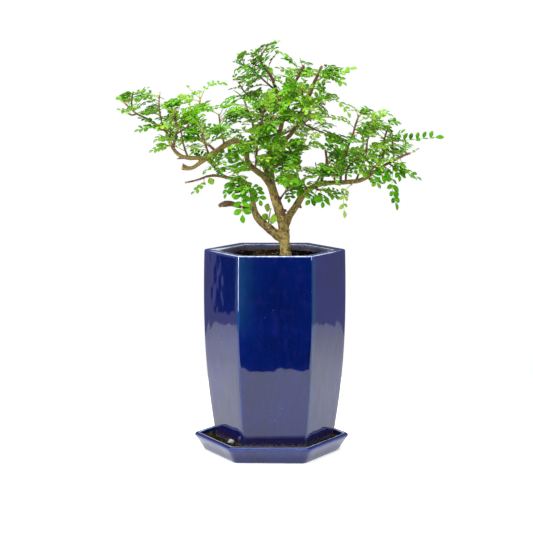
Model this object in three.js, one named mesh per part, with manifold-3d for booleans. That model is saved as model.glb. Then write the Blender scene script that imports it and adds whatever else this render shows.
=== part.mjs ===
// A Japanese pepper bonsai in a six-sided glazed pot, standing in its drip saucer.
// Millimetres, +Z up, +X to the right, +Y to the back; the origin is the middle of the saucer's underside.
import * as THREE from 'three';
import { mergeVertices } from 'three/addons/utils/BufferGeometryUtils.js';
import Module from 'manifold-3d';

const wasm = await Module();
wasm.setup();

// Clearance between pieces that touch
const GAP = 0.3;

// Saucer: radii run from its middle to a corner of the hexagon
const SAUCER = {
  turn: -1.6,
  height: 17.8,
  floor: 5.2,
  baseRadius: 68.2,
  rimRadius: 79,
  insideRadius: 66.8,
  wall: 5.4,
  edge: 1.4,
};

// Pot: its sides swell from the foot to the belly and draw in a little towards the rim
const POT = {
  x: 3.3,
  y: 1,
  foot: SAUCER.floor + GAP,
  height: 200.2,
  footRadius: 58.3,
  bellyRadius: 72,
  bellyHeight: 153.7,
  swell: 2.2,
  drawIn: 0.7,
  wall: 9.2,
  lip: 12.7,
  lipDepth: 12,
  floor: 9.5,
  footRing: 7,
  footRecess: 2,
  shoulder: 14,
  rimEase: 1.6,
  floorEase: 3,
  drainRadius: 8,
};
const WALL_HEIGHTS = [24, 56, 90, 122, POT.bellyHeight];
const SOIL = { top: 200.3, rings: [30, 14, 0], hump: 0.9, humpSize: 8, ripple: 0.5, rippleSize: 4.3 };
const MESH = { side: 30, thickness: 1, openings: 2, bar: 3 };
const GRIT = { top: 14.6, relief: 0.5, reliefSize: 5, rings: [4, 9], innerRadius: 44 };
const CHIP = { x: -40.1, y: -38, across: 6.6, deep: 5.1, tall: 5.4, roll: 0.5, pitch: 0.4 };

// Corners of every hexagon are eased by this half-angle, in degrees
const CORNER_EASE = 1.1;

// Leaves: a compound leaf is one thin blade cut in to its rib between the leaflets. Lengths along the rib are
// shares of the leaf's length, and breadths are shares of the leaflets' reach.
const LEAF = {
  thickness: 0.6,
  ribWidth: 0.8,
  reach: 6.2,
  petiole: 0.24,
  terminal: 0.8,
  lowestPair: 0.8,
  pairSpacing: 8.5,
  mostPairs: 4,
};

// Outlines as [share along, share of the half breadth]: a leaflet of a pair, the end leaflet, and the whole
// blade of a simple leaf
const PAIRED_LEAFLET = [[0.12, 0.74], [0.84, 1]];
const END_LEAFLET = [0.45, 0.42];
const SIMPLE_LEAF = { petiole: 0.16, breadth: 0.84, outline: [[0.21, 0.75], [0.59, 1], [0.87, 0.5]] };

// How a leaf grows by the rule: angles in radians, lengths in millimetres, the rest shares of its length
const GROWTH = {
  firstStation: 0.15,
  goldenAngle: 2.4,
  opening: [0.9, 1.3],
  endOpening: 0.45,
  flatten: 0.45,
  rise: 0.12,
  length: [23, 33],
  arch: 0.05,
  droop: [0.06, 0.2],
  size: [0.75, 1.05],
  pairs: 2,
};

// The way that leaf faces look, and the place in plan that they look away from
const FACING = { x: 4.2, y: 1, outwards: 0.45, front: 0.35, up: 0.8, loose: 0.3 };

// Of a stem's leaves that follow the rule, the solid model carries one in this many
const LEAF_STRIDE = 4;
const LEAF_TRIES = 24;
const BENDS = [0, 4, -4, 8, -8, 12, -12];
const SEEDS = { shoot: 100, grown: 50, attempt: 7001 };
const STEM_SIDES = 3;

// Space is divided in small cells to keep leaves clear of other pieces
const CELL = 1.8;
const TUBE_STEP = 1.5;
const RIB_STEPS = 16;
const FIRST_RIB_STEP = 5;

// The tree is drawn on an upright board through the origin, as seen from the eye. A point of a route is
// [across, down, back]: from the board's left and top edges, then behind the board along the line of sight.
// A fourth number is the wood's radius there.
const EYE = new THREE.Vector3(-5, -1576.5, 379.5);
const BOARD = { middle: 271.5, foot: 454.3 };

const WOOD = [
  {
    name: 'trunk',
    sides: 8,
    route: [
      [286.6, 268, 3, 6.6], [285.8, 255, 3, 5.9], [284.9, 244, 3, 5.3], [284.3, 235, 2, 5.6],
      [283.7, 227, 2, 5.5], [282, 219, 1, 5.5], [279.6, 211, 0, 5.2], [277, 203, -1, 4.8],
      [274, 194, -2, 4.4], [271, 185.5, -3, 4.1], [265.8, 177.5, -4, 3.6], [257.5, 171, -6, 3],
      [250.5, 165, -8, 2.8], [247, 159, -11, 2.7],
    ],
  },
  {
    name: 'left_limb',
    sides: 6,
    route: [
      [284, 239, 3, 4.3], [277.5, 235, 1, 4.6], [270, 228.6, -2, 4.5], [263, 222.8, -5, 4.2],
      [257, 216, -8, 3.8], [254, 208.5, -10, 3.2], [252.6, 199, -12, 2.4], [250.2, 189, -15, 2],
      [245, 181, -18, 1.9], [236, 178.2, -22, 1.8], [226, 176.8, -26, 1.6], [215, 174.8, -30, 1.5],
      [205.5, 176, -34, 1.3],
    ],
  },
  {
    name: 'left_stub',
    sides: 6,
    route: [
      [253.6, 208.5, -10, 1.6], [246, 207.4, -13, 1.5], [238, 205.6, -17, 1.8], [232, 203.2, -20, 2.9],
      [225, 203.3, -22, 3.3], [218.6, 205.4, -24, 1.8],
    ],
  },
  {
    name: 'front_limb',
    sides: 6,
    route: [
      [247.2, 160, -10, 2.6], [246.4, 152, -16, 2.7], [242.5, 144.5, -24, 2.7],
      [236.5, 140.6, -31, 2.8], [229.6, 141.8, -37, 2.8], [222, 146.8, -42, 2.8],
      [213.5, 152.8, -46, 2.7], [205.5, 158, -50, 2.6], [198.5, 163.4, -52, 2.1], [192.5, 167, -53, 2],
      [187, 167.9, -54, 2], [181.6, 167.3, -55, 1.9],
    ],
  },
  {
    name: 'front_limb_prong',
    sides: 5,
    route: [
      [189, 167.2, -53, 1.1], [182.4, 163.2, -54, 0.9],
    ],
  },
  {
    name: 'left_bough',
    sides: 6,
    route: [
      [206.5, 157.4, -49, 2.3], [199, 157.2, -51, 2.2], [190, 157.3, -53, 2.2], [182.3, 155.8, -54, 2],
      [176.6, 152, -55, 1.9], [172.8, 146.5, -56, 1.8], [170.3, 139.5, -56, 1.6],
      [167.8, 133, -55, 1.4], [162.6, 127.4, -53, 1.4], [155, 123.1, -50, 1.3],
      [145.7, 117.5, -46, 1.2], [139, 114.4, -43.6, 1.1],
    ],
  },
  {
    name: 'left_bough_spur',
    sides: 5,
    route: [
      [187, 157.8, -53, 0.8], [176.6, 158.3, -56, 0.7],
    ],
  },
  {
    name: 'leader',
    sides: 6,
    route: [
      [270.5, 184, -3, 3.1], [267.2, 174, 0, 3], [266, 164.5, 3, 2.8], [268, 155, 6, 2.7],
      [272.3, 146, 8, 2.6], [277.2, 137, 10, 2.5], [280.6, 128, 12, 2.4], [281.8, 118, 12, 2.3],
      [281, 108.5, 12, 2.1], [279.6, 100, 11, 2], [277.4, 92.5, 10, 1.9], [274.6, 86, 9, 1.6],
    ],
  },
  {
    name: 'right_spar',
    sides: 6,
    route: [
      [275.5, 141, 8, 2.4], [284, 139.5, 2, 2.3], [291.5, 132.8, -6, 2.2], [297, 123, -13, 2.1],
      [301, 113, -18, 2.1], [304.8, 103, -22, 2.2], [308.8, 94.5, -25, 2.6], [312.2, 86.4, -27, 2.2],
      [314.2, 81.8, -28, 1.4],
    ],
  },
  {
    name: 'right_limb',
    sides: 6,
    route: [
      [284.6, 228, 2, 3.6], [287.4, 220.5, 0, 3.8], [290.2, 213.8, -3, 3.7], [294.2, 207.8, -6, 3.6],
      [298.6, 201.3, -9, 3.5], [302.6, 194.8, -12, 3.4], [308, 189.4, -15, 3], [316, 185, -18, 2.6],
      [326, 182.4, -20, 2.4], [337, 182, -22, 2.3], [348, 181.4, -24, 2.3], [358, 180.2, -26, 2.4],
      [366, 177, -28, 2.2], [373.6, 171.4, -29, 1.7], [382, 166, -30, 1.5], [392, 160.4, -31, 1.4],
    ],
  },
  {
    name: 'right_knob',
    sides: 5,
    route: [
      [298.6, 203.6, -9, 1.9], [301.6, 207.6, -10, 1.3],
    ],
  },
  {
    name: 'trunk_spur',
    sides: 5,
    route: [
      [278.5, 201, -1, 1.7], [282.4, 195.2, -3, 1.1],
    ],
  },
  {
    name: 'trunk_knob',
    sides: 5,
    route: [
      [282.2, 212, 0, 1.9], [286.4, 209.3, -2, 1.4],
    ],
  },
  {
    name: 'back_limb',
    sides: 6,
    route: [
      [279.5, 208, 2, 3], [276.2, 197, 13, 2.7], [273.8, 187, 25, 2.5], [272.4, 176, 37, 2.3],
      [272, 165, 48, 2.1], [273.6, 154, 57, 1.8], [276.6, 144.5, 64, 1.5],
    ],
  },
];

// Outline of the foliage on the board, and the places inside it that leaves keep off: light gaps, and a limb
// that shows
const CROWN = [
  [117, 101], [116, 94], [124, 91], [140, 90], [147, 86], [155, 82], [157, 94], [166, 97], [190, 94],
  [203, 88], [213, 91], [207, 101], [231, 98], [227, 92], [229, 84], [237, 80], [231, 73], [235, 69],
  [236, 56], [250, 48], [262, 48], [268, 43], [281, 41], [283, 53], [300, 58], [304, 65], [322, 64],
  [333, 68], [345, 63], [359, 67], [342, 78], [348, 88], [333, 88], [341, 99], [325, 103], [332, 112],
  [322, 116], [350, 118], [342, 103], [352, 104], [360, 106], [369, 107], [379, 112], [401, 121],
  [415, 126], [435, 131], [445, 137], [412, 141], [419, 147], [412, 154], [415, 164], [410, 171],
  [424, 179], [418, 184], [404, 178], [402, 190], [408, 204], [399, 211], [390, 203], [390, 194],
  [377, 184], [366, 181], [363, 190], [352, 187], [348, 222], [340, 212], [338, 198], [334, 205],
  [322, 208], [310, 208], [300, 192], [293, 194], [291, 203], [282, 202], [279, 190], [271, 186],
  [264, 190], [264, 210], [254, 210], [253, 221], [243, 225], [233, 215], [226, 200], [219, 197],
  [225, 180], [210, 187], [206, 184], [189, 197], [198, 180], [184, 184], [183, 180], [196, 175],
  [205, 162], [190, 158], [175, 157], [163, 150], [148, 154], [150, 147], [157, 141], [158, 134],
  [139, 138], [132, 132], [150, 122], [130, 118], [117, 110], [125, 104],
];
const CLEARINGS = [
  [
    [311, 149], [323, 148], [324, 160], [314, 161], [310, 167], [303, 163], [305, 156],
  ],
  [
    [324, 121], [350, 124], [350, 131], [338, 133], [337, 125],
  ],
  [
    [204, 112], [215, 107], [223, 113], [222, 121], [212, 123],
  ],
  [
    [244, 157], [251, 158], [259, 169], [268, 176], [275, 184], [279, 192], [276, 202], [271, 199],
    [267, 190], [261, 183], [251, 173], [246, 165],
  ],
];

const SHOOTS = [
  {
    name: 'left_tip',
    leaves: 5,
    stems: [
      {
        radii: [1, 0.7],
        route: [
          [140.4, 115.1, -44], [136, 112.4, -42.6], [131.8, 108.6, -41], [123.4, 101, -37],
        ],
      },
      {
        radii: [0.9, 0.7],
        route: [
          [137.6, 113.4, -43], [132.5, 114.8, -47], [127.5, 112.3, -50],
        ],
      },
      {
        radii: [0.9, 0.6],
        route: [
          [132.8, 109.4, -41], [132.6, 99.5, -43], [134.3, 91.8, -44],
        ],
      },
    ],
    placed: [
      { pairs: 1, size: 0.75, rib: [[128, 112.5, -50], [123, 110.2, -52], [116.6, 109, -53]] },
      { pairs: 2, size: 0.6, rib: [[124, 101.4, -37], [121, 97.6, -35], [116.5, 98.3, -34]] },
      { pairs: 3, size: 0.9, rib: [[133, 109.5, -41], [140, 106, -50], [146, 104, -58]] },
      { pairs: 4, size: 0.85, rib: [[133.4, 97.5, -43], [148, 94.8, -38], [168, 100, -32]] },
      { pairs: 3, size: 0.8, rib: [[133.8, 94.5, -43], [141, 92.5, -46], [152.3, 85.6, -50]] },
      { pairs: 3, size: 0.95, rib: [[133, 99, -43], [140.5, 98, -54], [146.5, 99.5, -62]] },
    ],
  },
  {
    name: 'left_spire',
    leaves: 5,
    stems: [
      {
        radii: [1, 0.5],
        route: [
          [162.9, 127, -53], [161.8, 119, -52], [160.2, 110, -51], [159.8, 101, -50],
          [160.8, 92.4, -49],
        ],
      },
    ],
    placed: [
      { pairs: 2, size: 0.7, rib: [[160, 106, -50], [154, 103, -56], [151.8, 96.5, -60]] },
      { pairs: 3, size: 0.9, rib: [[161.2, 114.8, -52], [151, 112, -60], [138, 112.8, -66]] },
    ],
  },
  {
    name: 'left_post',
    leaves: 6,
    stems: [
      {
        radii: [1.2, 0.9],
        route: [
          [173.8, 146.5, -56], [175.6, 137, -57], [177.3, 130, -58], [176.3, 121, -58],
          [175.2, 115.4, -58], [176.4, 110.8, -58],
        ],
      },
      {
        radii: [0.9, 0.7],
        route: [
          [176.9, 133.4, -57], [182, 130.3, -61], [187, 127, -63], [189.6, 122.2, -64],
        ],
      },
    ],
    placed: [
      { pairs: 3, size: 0.95, rib: [[176.2, 126, -58], [166.5, 124.6, -66], [154, 129.6, -72]] },
      { pairs: 1, size: 0.6, rib: [[189, 123, -64], [190.4, 112, -66], [189.7, 102.6, -67]] },
    ],
  },
  {
    name: 'left_sprig',
    leaves: 5,
    stems: [
      {
        radii: [0.9, 0.5],
        route: [
          [170.6, 141, -56], [170.8, 129, -49], [172.2, 116, -45], [173.2, 99.2, -43],
        ],
      },
    ],
    placed: [],
  },
  {
    name: 'left_under',
    leaves: 1,
    stems: [
      {
        radii: [0.9, 0.8],
        route: [
          [164.4, 129.6, -54], [161.6, 129.2, -60],
        ],
      },
    ],
    placed: [
      { pairs: 4, size: 0.9, rib: [[162.4, 129.3, -58], [150, 127, -58], [133.5, 132, -59]] },
    ],
  },
  {
    name: 'left_low',
    leaves: 1,
    stems: [
      {
        radii: [0.9, 0.8],
        route: [
          [173.3, 147.4, -56], [170.4, 144.6, -62],
        ],
      },
    ],
    placed: [
      { pairs: 3, size: 1, rib: [[171, 145.4, -61], [163, 136.5, -66], [153.5, 144, -70]] },
      { pairs: 4, size: 0.85, rib: [[171.8, 146, -60], [162, 146.5, -62], [147.2, 152.9, -64]] },
    ],
  },
  {
    name: 'left_gate',
    leaves: 5,
    stems: [
      {
        radii: [1.4, 0.8],
        route: [
          [216, 150.8, -44], [209, 144.6, -41], [202.4, 140.6, -37], [197.4, 133, -34],
          [195.2, 122, -33], [195.6, 114.8, -33], [198.8, 108.5, -33], [200.9, 98, -33],
        ],
      },
    ],
    placed: [
      { pairs: 4, size: 0.7, rib: [[200.6, 98.8, -33], [211.5, 84, -28], [229, 86, -22]] },
      { pairs: 5, size: 0.8, rib: [[200, 101.5, -33], [187, 98.4, -37], [172.5, 101, -41]] },
      { pairs: 1, size: 0.6, rib: [[200.8, 98.4, -33], [194, 92.4, -36], [187, 85, -38]] },
      { pairs: 5, size: 0.85, rib: [[198.6, 109.6, -33], [216, 107.6, -36], [238, 102.8, -40]] },
    ],
  },
  {
    name: 'left_back',
    leaves: 6,
    stems: [
      {
        radii: [1, 0.7],
        route: [
          [188, 156.4, -51], [184.6, 147, -38], [182.4, 137, -26], [180.8, 127, -18],
        ],
      },
    ],
    placed: [],
  },
  {
    name: 'left_front',
    leaves: 7,
    stems: [
      {
        radii: [1.1, 0.7],
        route: [
          [209.5, 155, -49], [206.4, 146, -57], [203.8, 137.5, -63], [202.2, 129, -66],
        ],
      },
    ],
    placed: [],
  },
  {
    name: 'left_inner',
    leaves: 7,
    stems: [
      {
        radii: [1.1, 0.7],
        route: [
          [224.5, 144.4, -40], [222.6, 135, -37], [220.4, 125, -35], [219.2, 114.5, -34],
        ],
      },
    ],
    placed: [],
  },
  {
    name: 'low_twig',
    leaves: 5,
    stems: [
      {
        radii: [1, 0.7],
        route: [
          [226.5, 176, -27], [220.6, 172.6, -31], [214.6, 167, -36], [209, 161.4, -42],
        ],
      },
    ],
    placed: [],
  },
  {
    name: 'low_tip',
    leaves: 2,
    stems: [
      {
        radii: [1.1, 0.8],
        route: [
          [206.5, 175.8, -34], [199.4, 178.6, -37], [192.5, 180.5, -39], [185.8, 181.9, -41],
        ],
      },
    ],
    placed: [
      { pairs: 3, size: 0.75, rib: [[204, 177.4, -35], [201.5, 185.6, -38], [188.2, 194.6, -41]] },
      { pairs: 0, size: 1, rib: [[208.4, 176.2, -34], [210, 180, -36], [209.2, 185.2, -37]] },
    ],
  },
  {
    name: 'left_curtain',
    leaves: 2,
    stems: [
      {
        radii: [1.1, 0.8],
        route: [
          [238.6, 178.8, -22], [238.6, 176, -30], [239.6, 177.6, -38],
        ],
      },
    ],
    placed: [
      { pairs: 4, size: 1.35, rib: [[239.4, 177.6, -37], [241.4, 198, -43], [243, 224.6, -46]] },
      { pairs: 4, size: 1, rib: [[238.8, 176.6, -32], [230.5, 184, -38], [224.2, 199.5, -42]] },
      { pairs: 3, size: 1.25, rib: [[239.4, 177.4, -36], [247.5, 190, -38], [250, 214, -40]] },
    ],
  },
  {
    name: 'left_screen',
    leaves: 3,
    stems: [
      {
        radii: [1.1, 0.8],
        route: [
          [250.8, 191, -14], [247.6, 186.6, -22], [248.4, 183, -30],
        ],
      },
    ],
    placed: [
      { pairs: 4, size: 1.05, rib: [[248.2, 184, -28], [256.6, 191, -31], [261.6, 209, -33]] },
      { pairs: 3, size: 1, rib: [[248, 185, -26], [241, 181.4, -33], [231.5, 186, -38]] },
    ],
  },
  {
    name: 'crotch_sprout',
    leaves: 0,
    stems: [
      {
        radii: [0.8, 0.6],
        route: [
          [268.8, 227.6, -3], [268.9, 218, -5], [270.9, 208.2, -6],
        ],
      },
    ],
    placed: [
      { pairs: 0, size: 1, rib: [[268.8, 219.6, -5], [265.6, 217, -8], [261.4, 213.8, -10]] },
      { pairs: 0, size: 1.05, rib: [[268.8, 218.8, -5], [272.6, 219.2, -9], [277.8, 222.6, -13]] },
      { pairs: 0, size: 0.95, rib: [[270.6, 209.2, -6], [267.8, 207.4, -8], [262.6, 205, -10]] },
    ],
  },
  {
    name: 'trunk_sprout',
    leaves: 3,
    stems: [
      {
        radii: [0.9, 0.6],
        route: [
          [281.4, 196.6, -3], [284.4, 192.4, -6], [287.4, 189.2, -8],
        ],
      },
    ],
    placed: [
      { pairs: 2, size: 0.85, rib: [[286.9, 189.8, -8], [289.6, 195, -14], [287.8, 202.6, -18]] },
    ],
  },
  {
    name: 'dome_left',
    leaves: 7,
    stems: [
      {
        radii: [1.3, 0.9],
        route: [
          [247.3, 157.6, -12], [248, 149, -14], [251.2, 138.4, -16], [253.4, 128, -17],
          [250.4, 116.6, -17], [246.8, 107.5, -17], [244.9, 100.8, -17],
        ],
      },
    ],
    placed: [],
  },
  {
    name: 'dome_front',
    leaves: 8,
    stems: [
      {
        radii: [1.3, 0.9],
        route: [
          [243.8, 146.8, -21], [250.4, 141.4, -25], [256, 135, -28], [261.4, 122.6, -31],
          [263.2, 112.6, -32], [265.9, 103, -32], [271.6, 94.8, -33],
        ],
      },
      {
        radii: [0.9, 0.6],
        route: [
          [259.4, 127.2, -30], [268.8, 121.4, -36], [276.6, 116, -40],
        ],
      },
    ],
    placed: [],
  },
  {
    name: 'dome_edge',
    leaves: 6,
    stems: [
      {
        radii: [1, 0.6],
        route: [
          [280.6, 104.8, 12], [268.5, 104.6, 11], [257.6, 101.4, 9], [248.4, 95.4, 8],
          [242.4, 88.8, 7], [239, 82.6, 6],
        ],
      },
    ],
    placed: [
      { pairs: 2, size: 0.85, rib: [[243.6, 90.4, 7], [236.4, 87.6, 1], [227.6, 90.6, -4]] },
      { pairs: 2, size: 0.65, rib: [[239.2, 83.4, 6], [235.4, 77.5, 4], [235.6, 69.6, 2]] },
      { pairs: 2, size: 0.7, rib: [[242, 88.6, 7], [246, 80.4, 2], [249.5, 72.4, -2]] },
    ],
  },
  {
    name: 'apex_left',
    leaves: 6,
    stems: [
      {
        radii: [1.1, 0.6],
        route: [
          [276.8, 91, 9.6], [269, 85, 5], [257.6, 74.8, 3], [250, 67.4, 0], [243.6, 65.2, -2],
        ],
      },
    ],
    placed: [
      { pairs: 2, size: 0.6, rib: [[244.4, 65.2, -2], [242.8, 58.6, -5], [236.2, 54.2, -7]] },
      { pairs: 3, size: 0.75, rib: [[246, 65.8, -1], [239.5, 63.4, -6], [232.8, 62.4, -9]] },
    ],
  },
  {
    name: 'apex',
    leaves: 6,
    stems: [
      {
        radii: [1.6, 0.7],
        route: [
          [274.9, 86.8, 9], [271.8, 78, 8], [266.6, 70.6, 7], [261.8, 64.6, 6], [260.7, 58, 5],
          [263.2, 52.6, 4], [267.4, 47.2, 3],
        ],
      },
      {
        radii: [0.9, 0.7],
        route: [
          [262.4, 65.6, 6], [257.6, 66, 1], [251.8, 63, -4],
        ],
      },
    ],
    placed: [
      { pairs: 2, size: 0.65, rib: [[267.2, 47.6, 3], [273, 44.2, 1], [281.2, 41.4, 0]] },
      { pairs: 1, size: 0.85, rib: [[262.8, 53.4, 4], [268, 51.6, 0], [275.6, 47.4, -3]] },
      { pairs: 2, size: 0.65, rib: [[260.8, 58.4, 5], [256.4, 53.6, 2], [250.2, 50.6, 0]] },
    ],
  },
  {
    name: 'crown_right',
    leaves: 6,
    stems: [
      {
        radii: [1.6, 1.4],
        route: [
          [280.6, 106.5, 12], [285.6, 97, 8], [290.6, 88.8, 5], [296.4, 79.6, 1], [303.2, 66, -4],
        ],
      },
    ],
    placed: [
      { pairs: 3, size: 1.05, rib: [[297.4, 77.6, 0], [287, 71.6, -5], [273.6, 67.6, -9]] },
      { pairs: 3, size: 1.05, rib: [[301.6, 68.4, -3], [291.4, 62.4, -8], [277.6, 50.6, -12]] },
      { pairs: 1, size: 0.5, rib: [[302.8, 67, -4], [300.6, 62.4, -5], [299.8, 58.6, -6]] },
    ],
  },
  {
    name: 'right_spire',
    leaves: 5,
    stems: [
      {
        radii: [1.6, 1.3],
        route: [
          [313.8, 82.6, -28], [317.2, 75.4, -29], [321.3, 66.2, -31],
        ],
      },
      {
        radii: [0.8, 0.6],
        route: [
          [314.6, 82.4, -28], [318.6, 79.6, -31], [322.6, 77.2, -34],
        ],
      },
    ],
    placed: [
      { pairs: 5, size: 0.95, rib: [[318.4, 73, -30], [335, 72.5, -33], [358.6, 67.2, -36]] },
      { pairs: 4, size: 0.95, rib: [[322, 77.6, -33], [334, 77.5, -38], [347.2, 87, -42]] },
      { pairs: 3, size: 0.9, rib: [[316.6, 77, -29], [309.6, 73.4, -32], [302.5, 74.6, -34]] },
    ],
  },
  {
    name: 'right_shelf',
    leaves: 6,
    stems: [
      {
        radii: [1.1, 0.8],
        route: [
          [305.8, 100.6, -24], [312, 99.4, -26], [320, 98, -28], [328.8, 98.8, -30],
        ],
      },
      {
        radii: [0.9, 0.7],
        route: [
          [306.6, 101.4, -24], [316, 102.8, -20], [324.4, 104.2, -17],
        ],
      },
    ],
    placed: [
      { pairs: 3, size: 0.8, rib: [[328, 98.7, -30], [340.6, 103, -33], [350.4, 119.8, -36]] },
    ],
  },
  {
    name: 'right_drift',
    leaves: 6,
    stems: [
      {
        radii: [0.9, 0.6],
        route: [
          [299.8, 117.2, -16], [306, 124.6, -15], [314.6, 129, -14], [325, 133, -13],
          [335.9, 139, -12], [341.4, 144, -11],
        ],
      },
    ],
    placed: [],
  },
  {
    name: 'face_high',
    leaves: 6,
    stems: [
      {
        radii: [1, 0.7],
        route: [
          [303.8, 105.6, -22], [302.4, 97, -30], [301.6, 88, -36],
        ],
      },
    ],
    placed: [],
  },
  {
    name: 'face_right',
    leaves: 7,
    stems: [
      {
        radii: [1, 0.7],
        route: [
          [297.6, 121.6, -14], [302, 118.6, -27], [307.2, 114.2, -38], [311.6, 109.4, -46],
        ],
      },
    ],
    placed: [],
  },
  {
    name: 'face_mid',
    leaves: 7,
    stems: [
      {
        radii: [1, 0.7],
        route: [
          [281.6, 120, 11], [284.6, 115, -2], [287.6, 109, -13], [290, 103, -22],
        ],
      },
    ],
    placed: [],
  },
  {
    name: 'face_low',
    leaves: 7,
    stems: [
      {
        radii: [1.1, 0.7],
        route: [
          [255, 168.6, -7], [256, 160, -20], [256.4, 152, -31], [255.8, 145.6, -39],
        ],
      },
    ],
    placed: [
      { pairs: 4, size: 1.05, rib: [[255.8, 161.6, -17], [246.6, 162.6, -27], [233, 171.4, -35]] },
    ],
  },
  {
    name: 'heart',
    leaves: 8,
    stems: [
      {
        radii: [1.1, 0.7],
        route: [
          [266.8, 171.5, 0], [271.6, 163, -13], [277.2, 155, -25], [281.6, 148, -34],
        ],
      },
    ],
    placed: [],
  },
  {
    name: 'heart_right',
    leaves: 7,
    stems: [
      {
        radii: [1, 0.7],
        route: [
          [286, 138, 0], [289.6, 149, -12], [294.6, 160, -22], [301, 170, -29],
        ],
      },
    ],
    placed: [
      { pairs: 3, size: 1, rib: [[300.2, 168.6, -28], [292, 175, -32], [283.6, 186.6, -35]] },
    ],
  },
  {
    name: 'heart_high',
    leaves: 6,
    stems: [
      {
        radii: [1, 0.7],
        route: [
          [279.4, 133, 11], [275, 127.4, 0], [272.2, 121.6, -10], [269.6, 113.4, -19],
        ],
      },
    ],
    placed: [],
  },
  {
    name: 'top_back',
    leaves: 6,
    stems: [
      {
        radii: [1, 0.7],
        route: [
          [279.7, 101, 11], [284.6, 94.6, 24], [288.6, 87, 36], [291, 80, 44],
        ],
      },
    ],
    placed: [],
  },
  {
    name: 'wing_back_left',
    leaves: 7,
    stems: [
      {
        radii: [1.1, 0.7],
        route: [
          [271.6, 147.6, 8], [262, 136, 32], [254.4, 125.6, 50], [250.2, 116, 62],
        ],
      },
    ],
    placed: [],
  },
  {
    name: 'wing_back_right',
    leaves: 7,
    stems: [
      {
        radii: [1.1, 0.7],
        route: [
          [277.6, 136.4, 10], [294, 128.4, 32], [306.6, 120.6, 48], [315.6, 112.6, 60],
        ],
      },
    ],
    placed: [],
  },
  {
    name: 'back_left',
    leaves: 7,
    stems: [
      {
        radii: [1.1, 0.7],
        route: [
          [273, 181, 31], [261, 173, 46], [249, 165.4, 58], [238.6, 157, 68],
        ],
      },
    ],
    placed: [],
  },
  {
    name: 'back_right',
    leaves: 7,
    stems: [
      {
        radii: [1.1, 0.7],
        route: [
          [272, 167, 46], [286, 159, 55], [299.4, 151, 62], [310.6, 143, 68],
        ],
      },
    ],
    placed: [],
  },
  {
    name: 'back_top',
    leaves: 7,
    stems: [
      {
        radii: [1.1, 0.7],
        route: [
          [276.4, 146, 63], [279.4, 134, 70], [280.6, 122.6, 74], [280.2, 111.6, 77],
        ],
      },
    ],
    placed: [],
  },
  {
    name: 'back_low',
    leaves: 6,
    stems: [
      {
        radii: [1, 0.7],
        route: [
          [273.4, 170, 43], [276.4, 163.4, 62], [279.4, 157.8, 80],
        ],
      },
    ],
    placed: [],
  },
  {
    name: 'right_stump',
    leaves: 3,
    stems: [
      {
        radii: [1.4, 1.2],
        route: [
          [320.4, 184.2, -19], [322.6, 176, -20], [326, 167.6, -20], [326.4, 158, -20],
          [325.2, 149.8, -20],
        ],
      },
    ],
    placed: [
      { pairs: 2, size: 0.7, rib: [[322.4, 177, -20], [316.8, 171.4, -25], [315.6, 160.6, -29]] },
    ],
  },
  {
    name: 'right_gate',
    leaves: 6,
    stems: [
      {
        radii: [1, 0.7],
        route: [
          [306.4, 190.8, -14], [304.4, 184, -21], [299, 178.8, -26], [292, 175.4, -30],
        ],
      },
    ],
    placed: [
      { pairs: 3, size: 1, rib: [[293, 175.8, -29], [286.6, 178, -34], [280.6, 185.4, -38]] },
      { pairs: 3, size: 0.95, rib: [[304.8, 185.2, -20], [299.4, 189.6, -26], [291.2, 192.8, -31]] },
    ],
  },
  {
    name: 'right_mast',
    leaves: 8,
    stems: [
      {
        radii: [1.2, 0.9],
        route: [
          [340.6, 182.6, -22], [341, 171, -23], [344.2, 157.5, -24], [348.6, 144, -25],
          [352.6, 133.4, -26], [355, 124.6, -26], [358, 115.6, -27],
        ],
      },
    ],
    placed: [
      { pairs: 3, size: 0.7, rib: [[357.4, 117.4, -27], [353.8, 108, -29], [342.8, 104.2, -31]] },
      { pairs: 5, size: 0.85, rib: [[354.2, 128, -26], [343, 119.6, -30], [324, 117, -34]] },
    ],
  },
  {
    name: 'right_fork',
    leaves: 8,
    stems: [
      {
        radii: [1.2, 0.5],
        route: [
          [345.4, 181.8, -24], [347.2, 168, -28], [355.6, 159.4, -32], [365.4, 151.4, -35],
          [366.8, 142, -36], [368.8, 133, -36], [375.3, 112, -37],
        ],
      },
    ],
    placed: [
      { pairs: 3, size: 0.75, rib: [[372.6, 119.6, -36], [368, 110, -39], [360.6, 108.6, -41]] },
      { pairs: 4, size: 0.8, rib: [[370.4, 127.4, -36], [380.6, 113, -33], [392.4, 117.4, -30]] },
    ],
  },
  {
    name: 'right_tower',
    leaves: 6,
    stems: [
      {
        radii: [1.2, 0.8],
        route: [
          [375.8, 169.6, -29], [380, 161.6, -29], [383.4, 153, -29], [383.2, 142.4, -29],
          [385.4, 133.4, -29], [388.2, 125.4, -29],
        ],
      },
    ],
    placed: [
      { pairs: 6, size: 1, rib: [[383.4, 141.6, -29], [411.4, 139.2, -34], [444.6, 136.2, -38]] },
      { pairs: 2, size: 0.8, rib: [[387, 129, -29], [391.6, 121.6, -26], [401.8, 124.8, -24]] },
      { pairs: 4, size: 0.85, rib: [[383.2, 143.4, -29], [393.4, 137.6, -42], [404.4, 129, -48]] },
    ],
  },
  {
    name: 'right_end',
    leaves: 4,
    stems: [
      {
        radii: [1.5, 1.1],
        route: [
          [390.4, 161.2, -31], [402, 155.4, -32], [409.6, 152.6, -33],
        ],
      },
      {
        radii: [0.8, 0.6],
        route: [
          [392.4, 160.4, -31], [393.4, 152, -30], [391.8, 142, -29], [392, 134.6, -29],
        ],
      },
    ],
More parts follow.
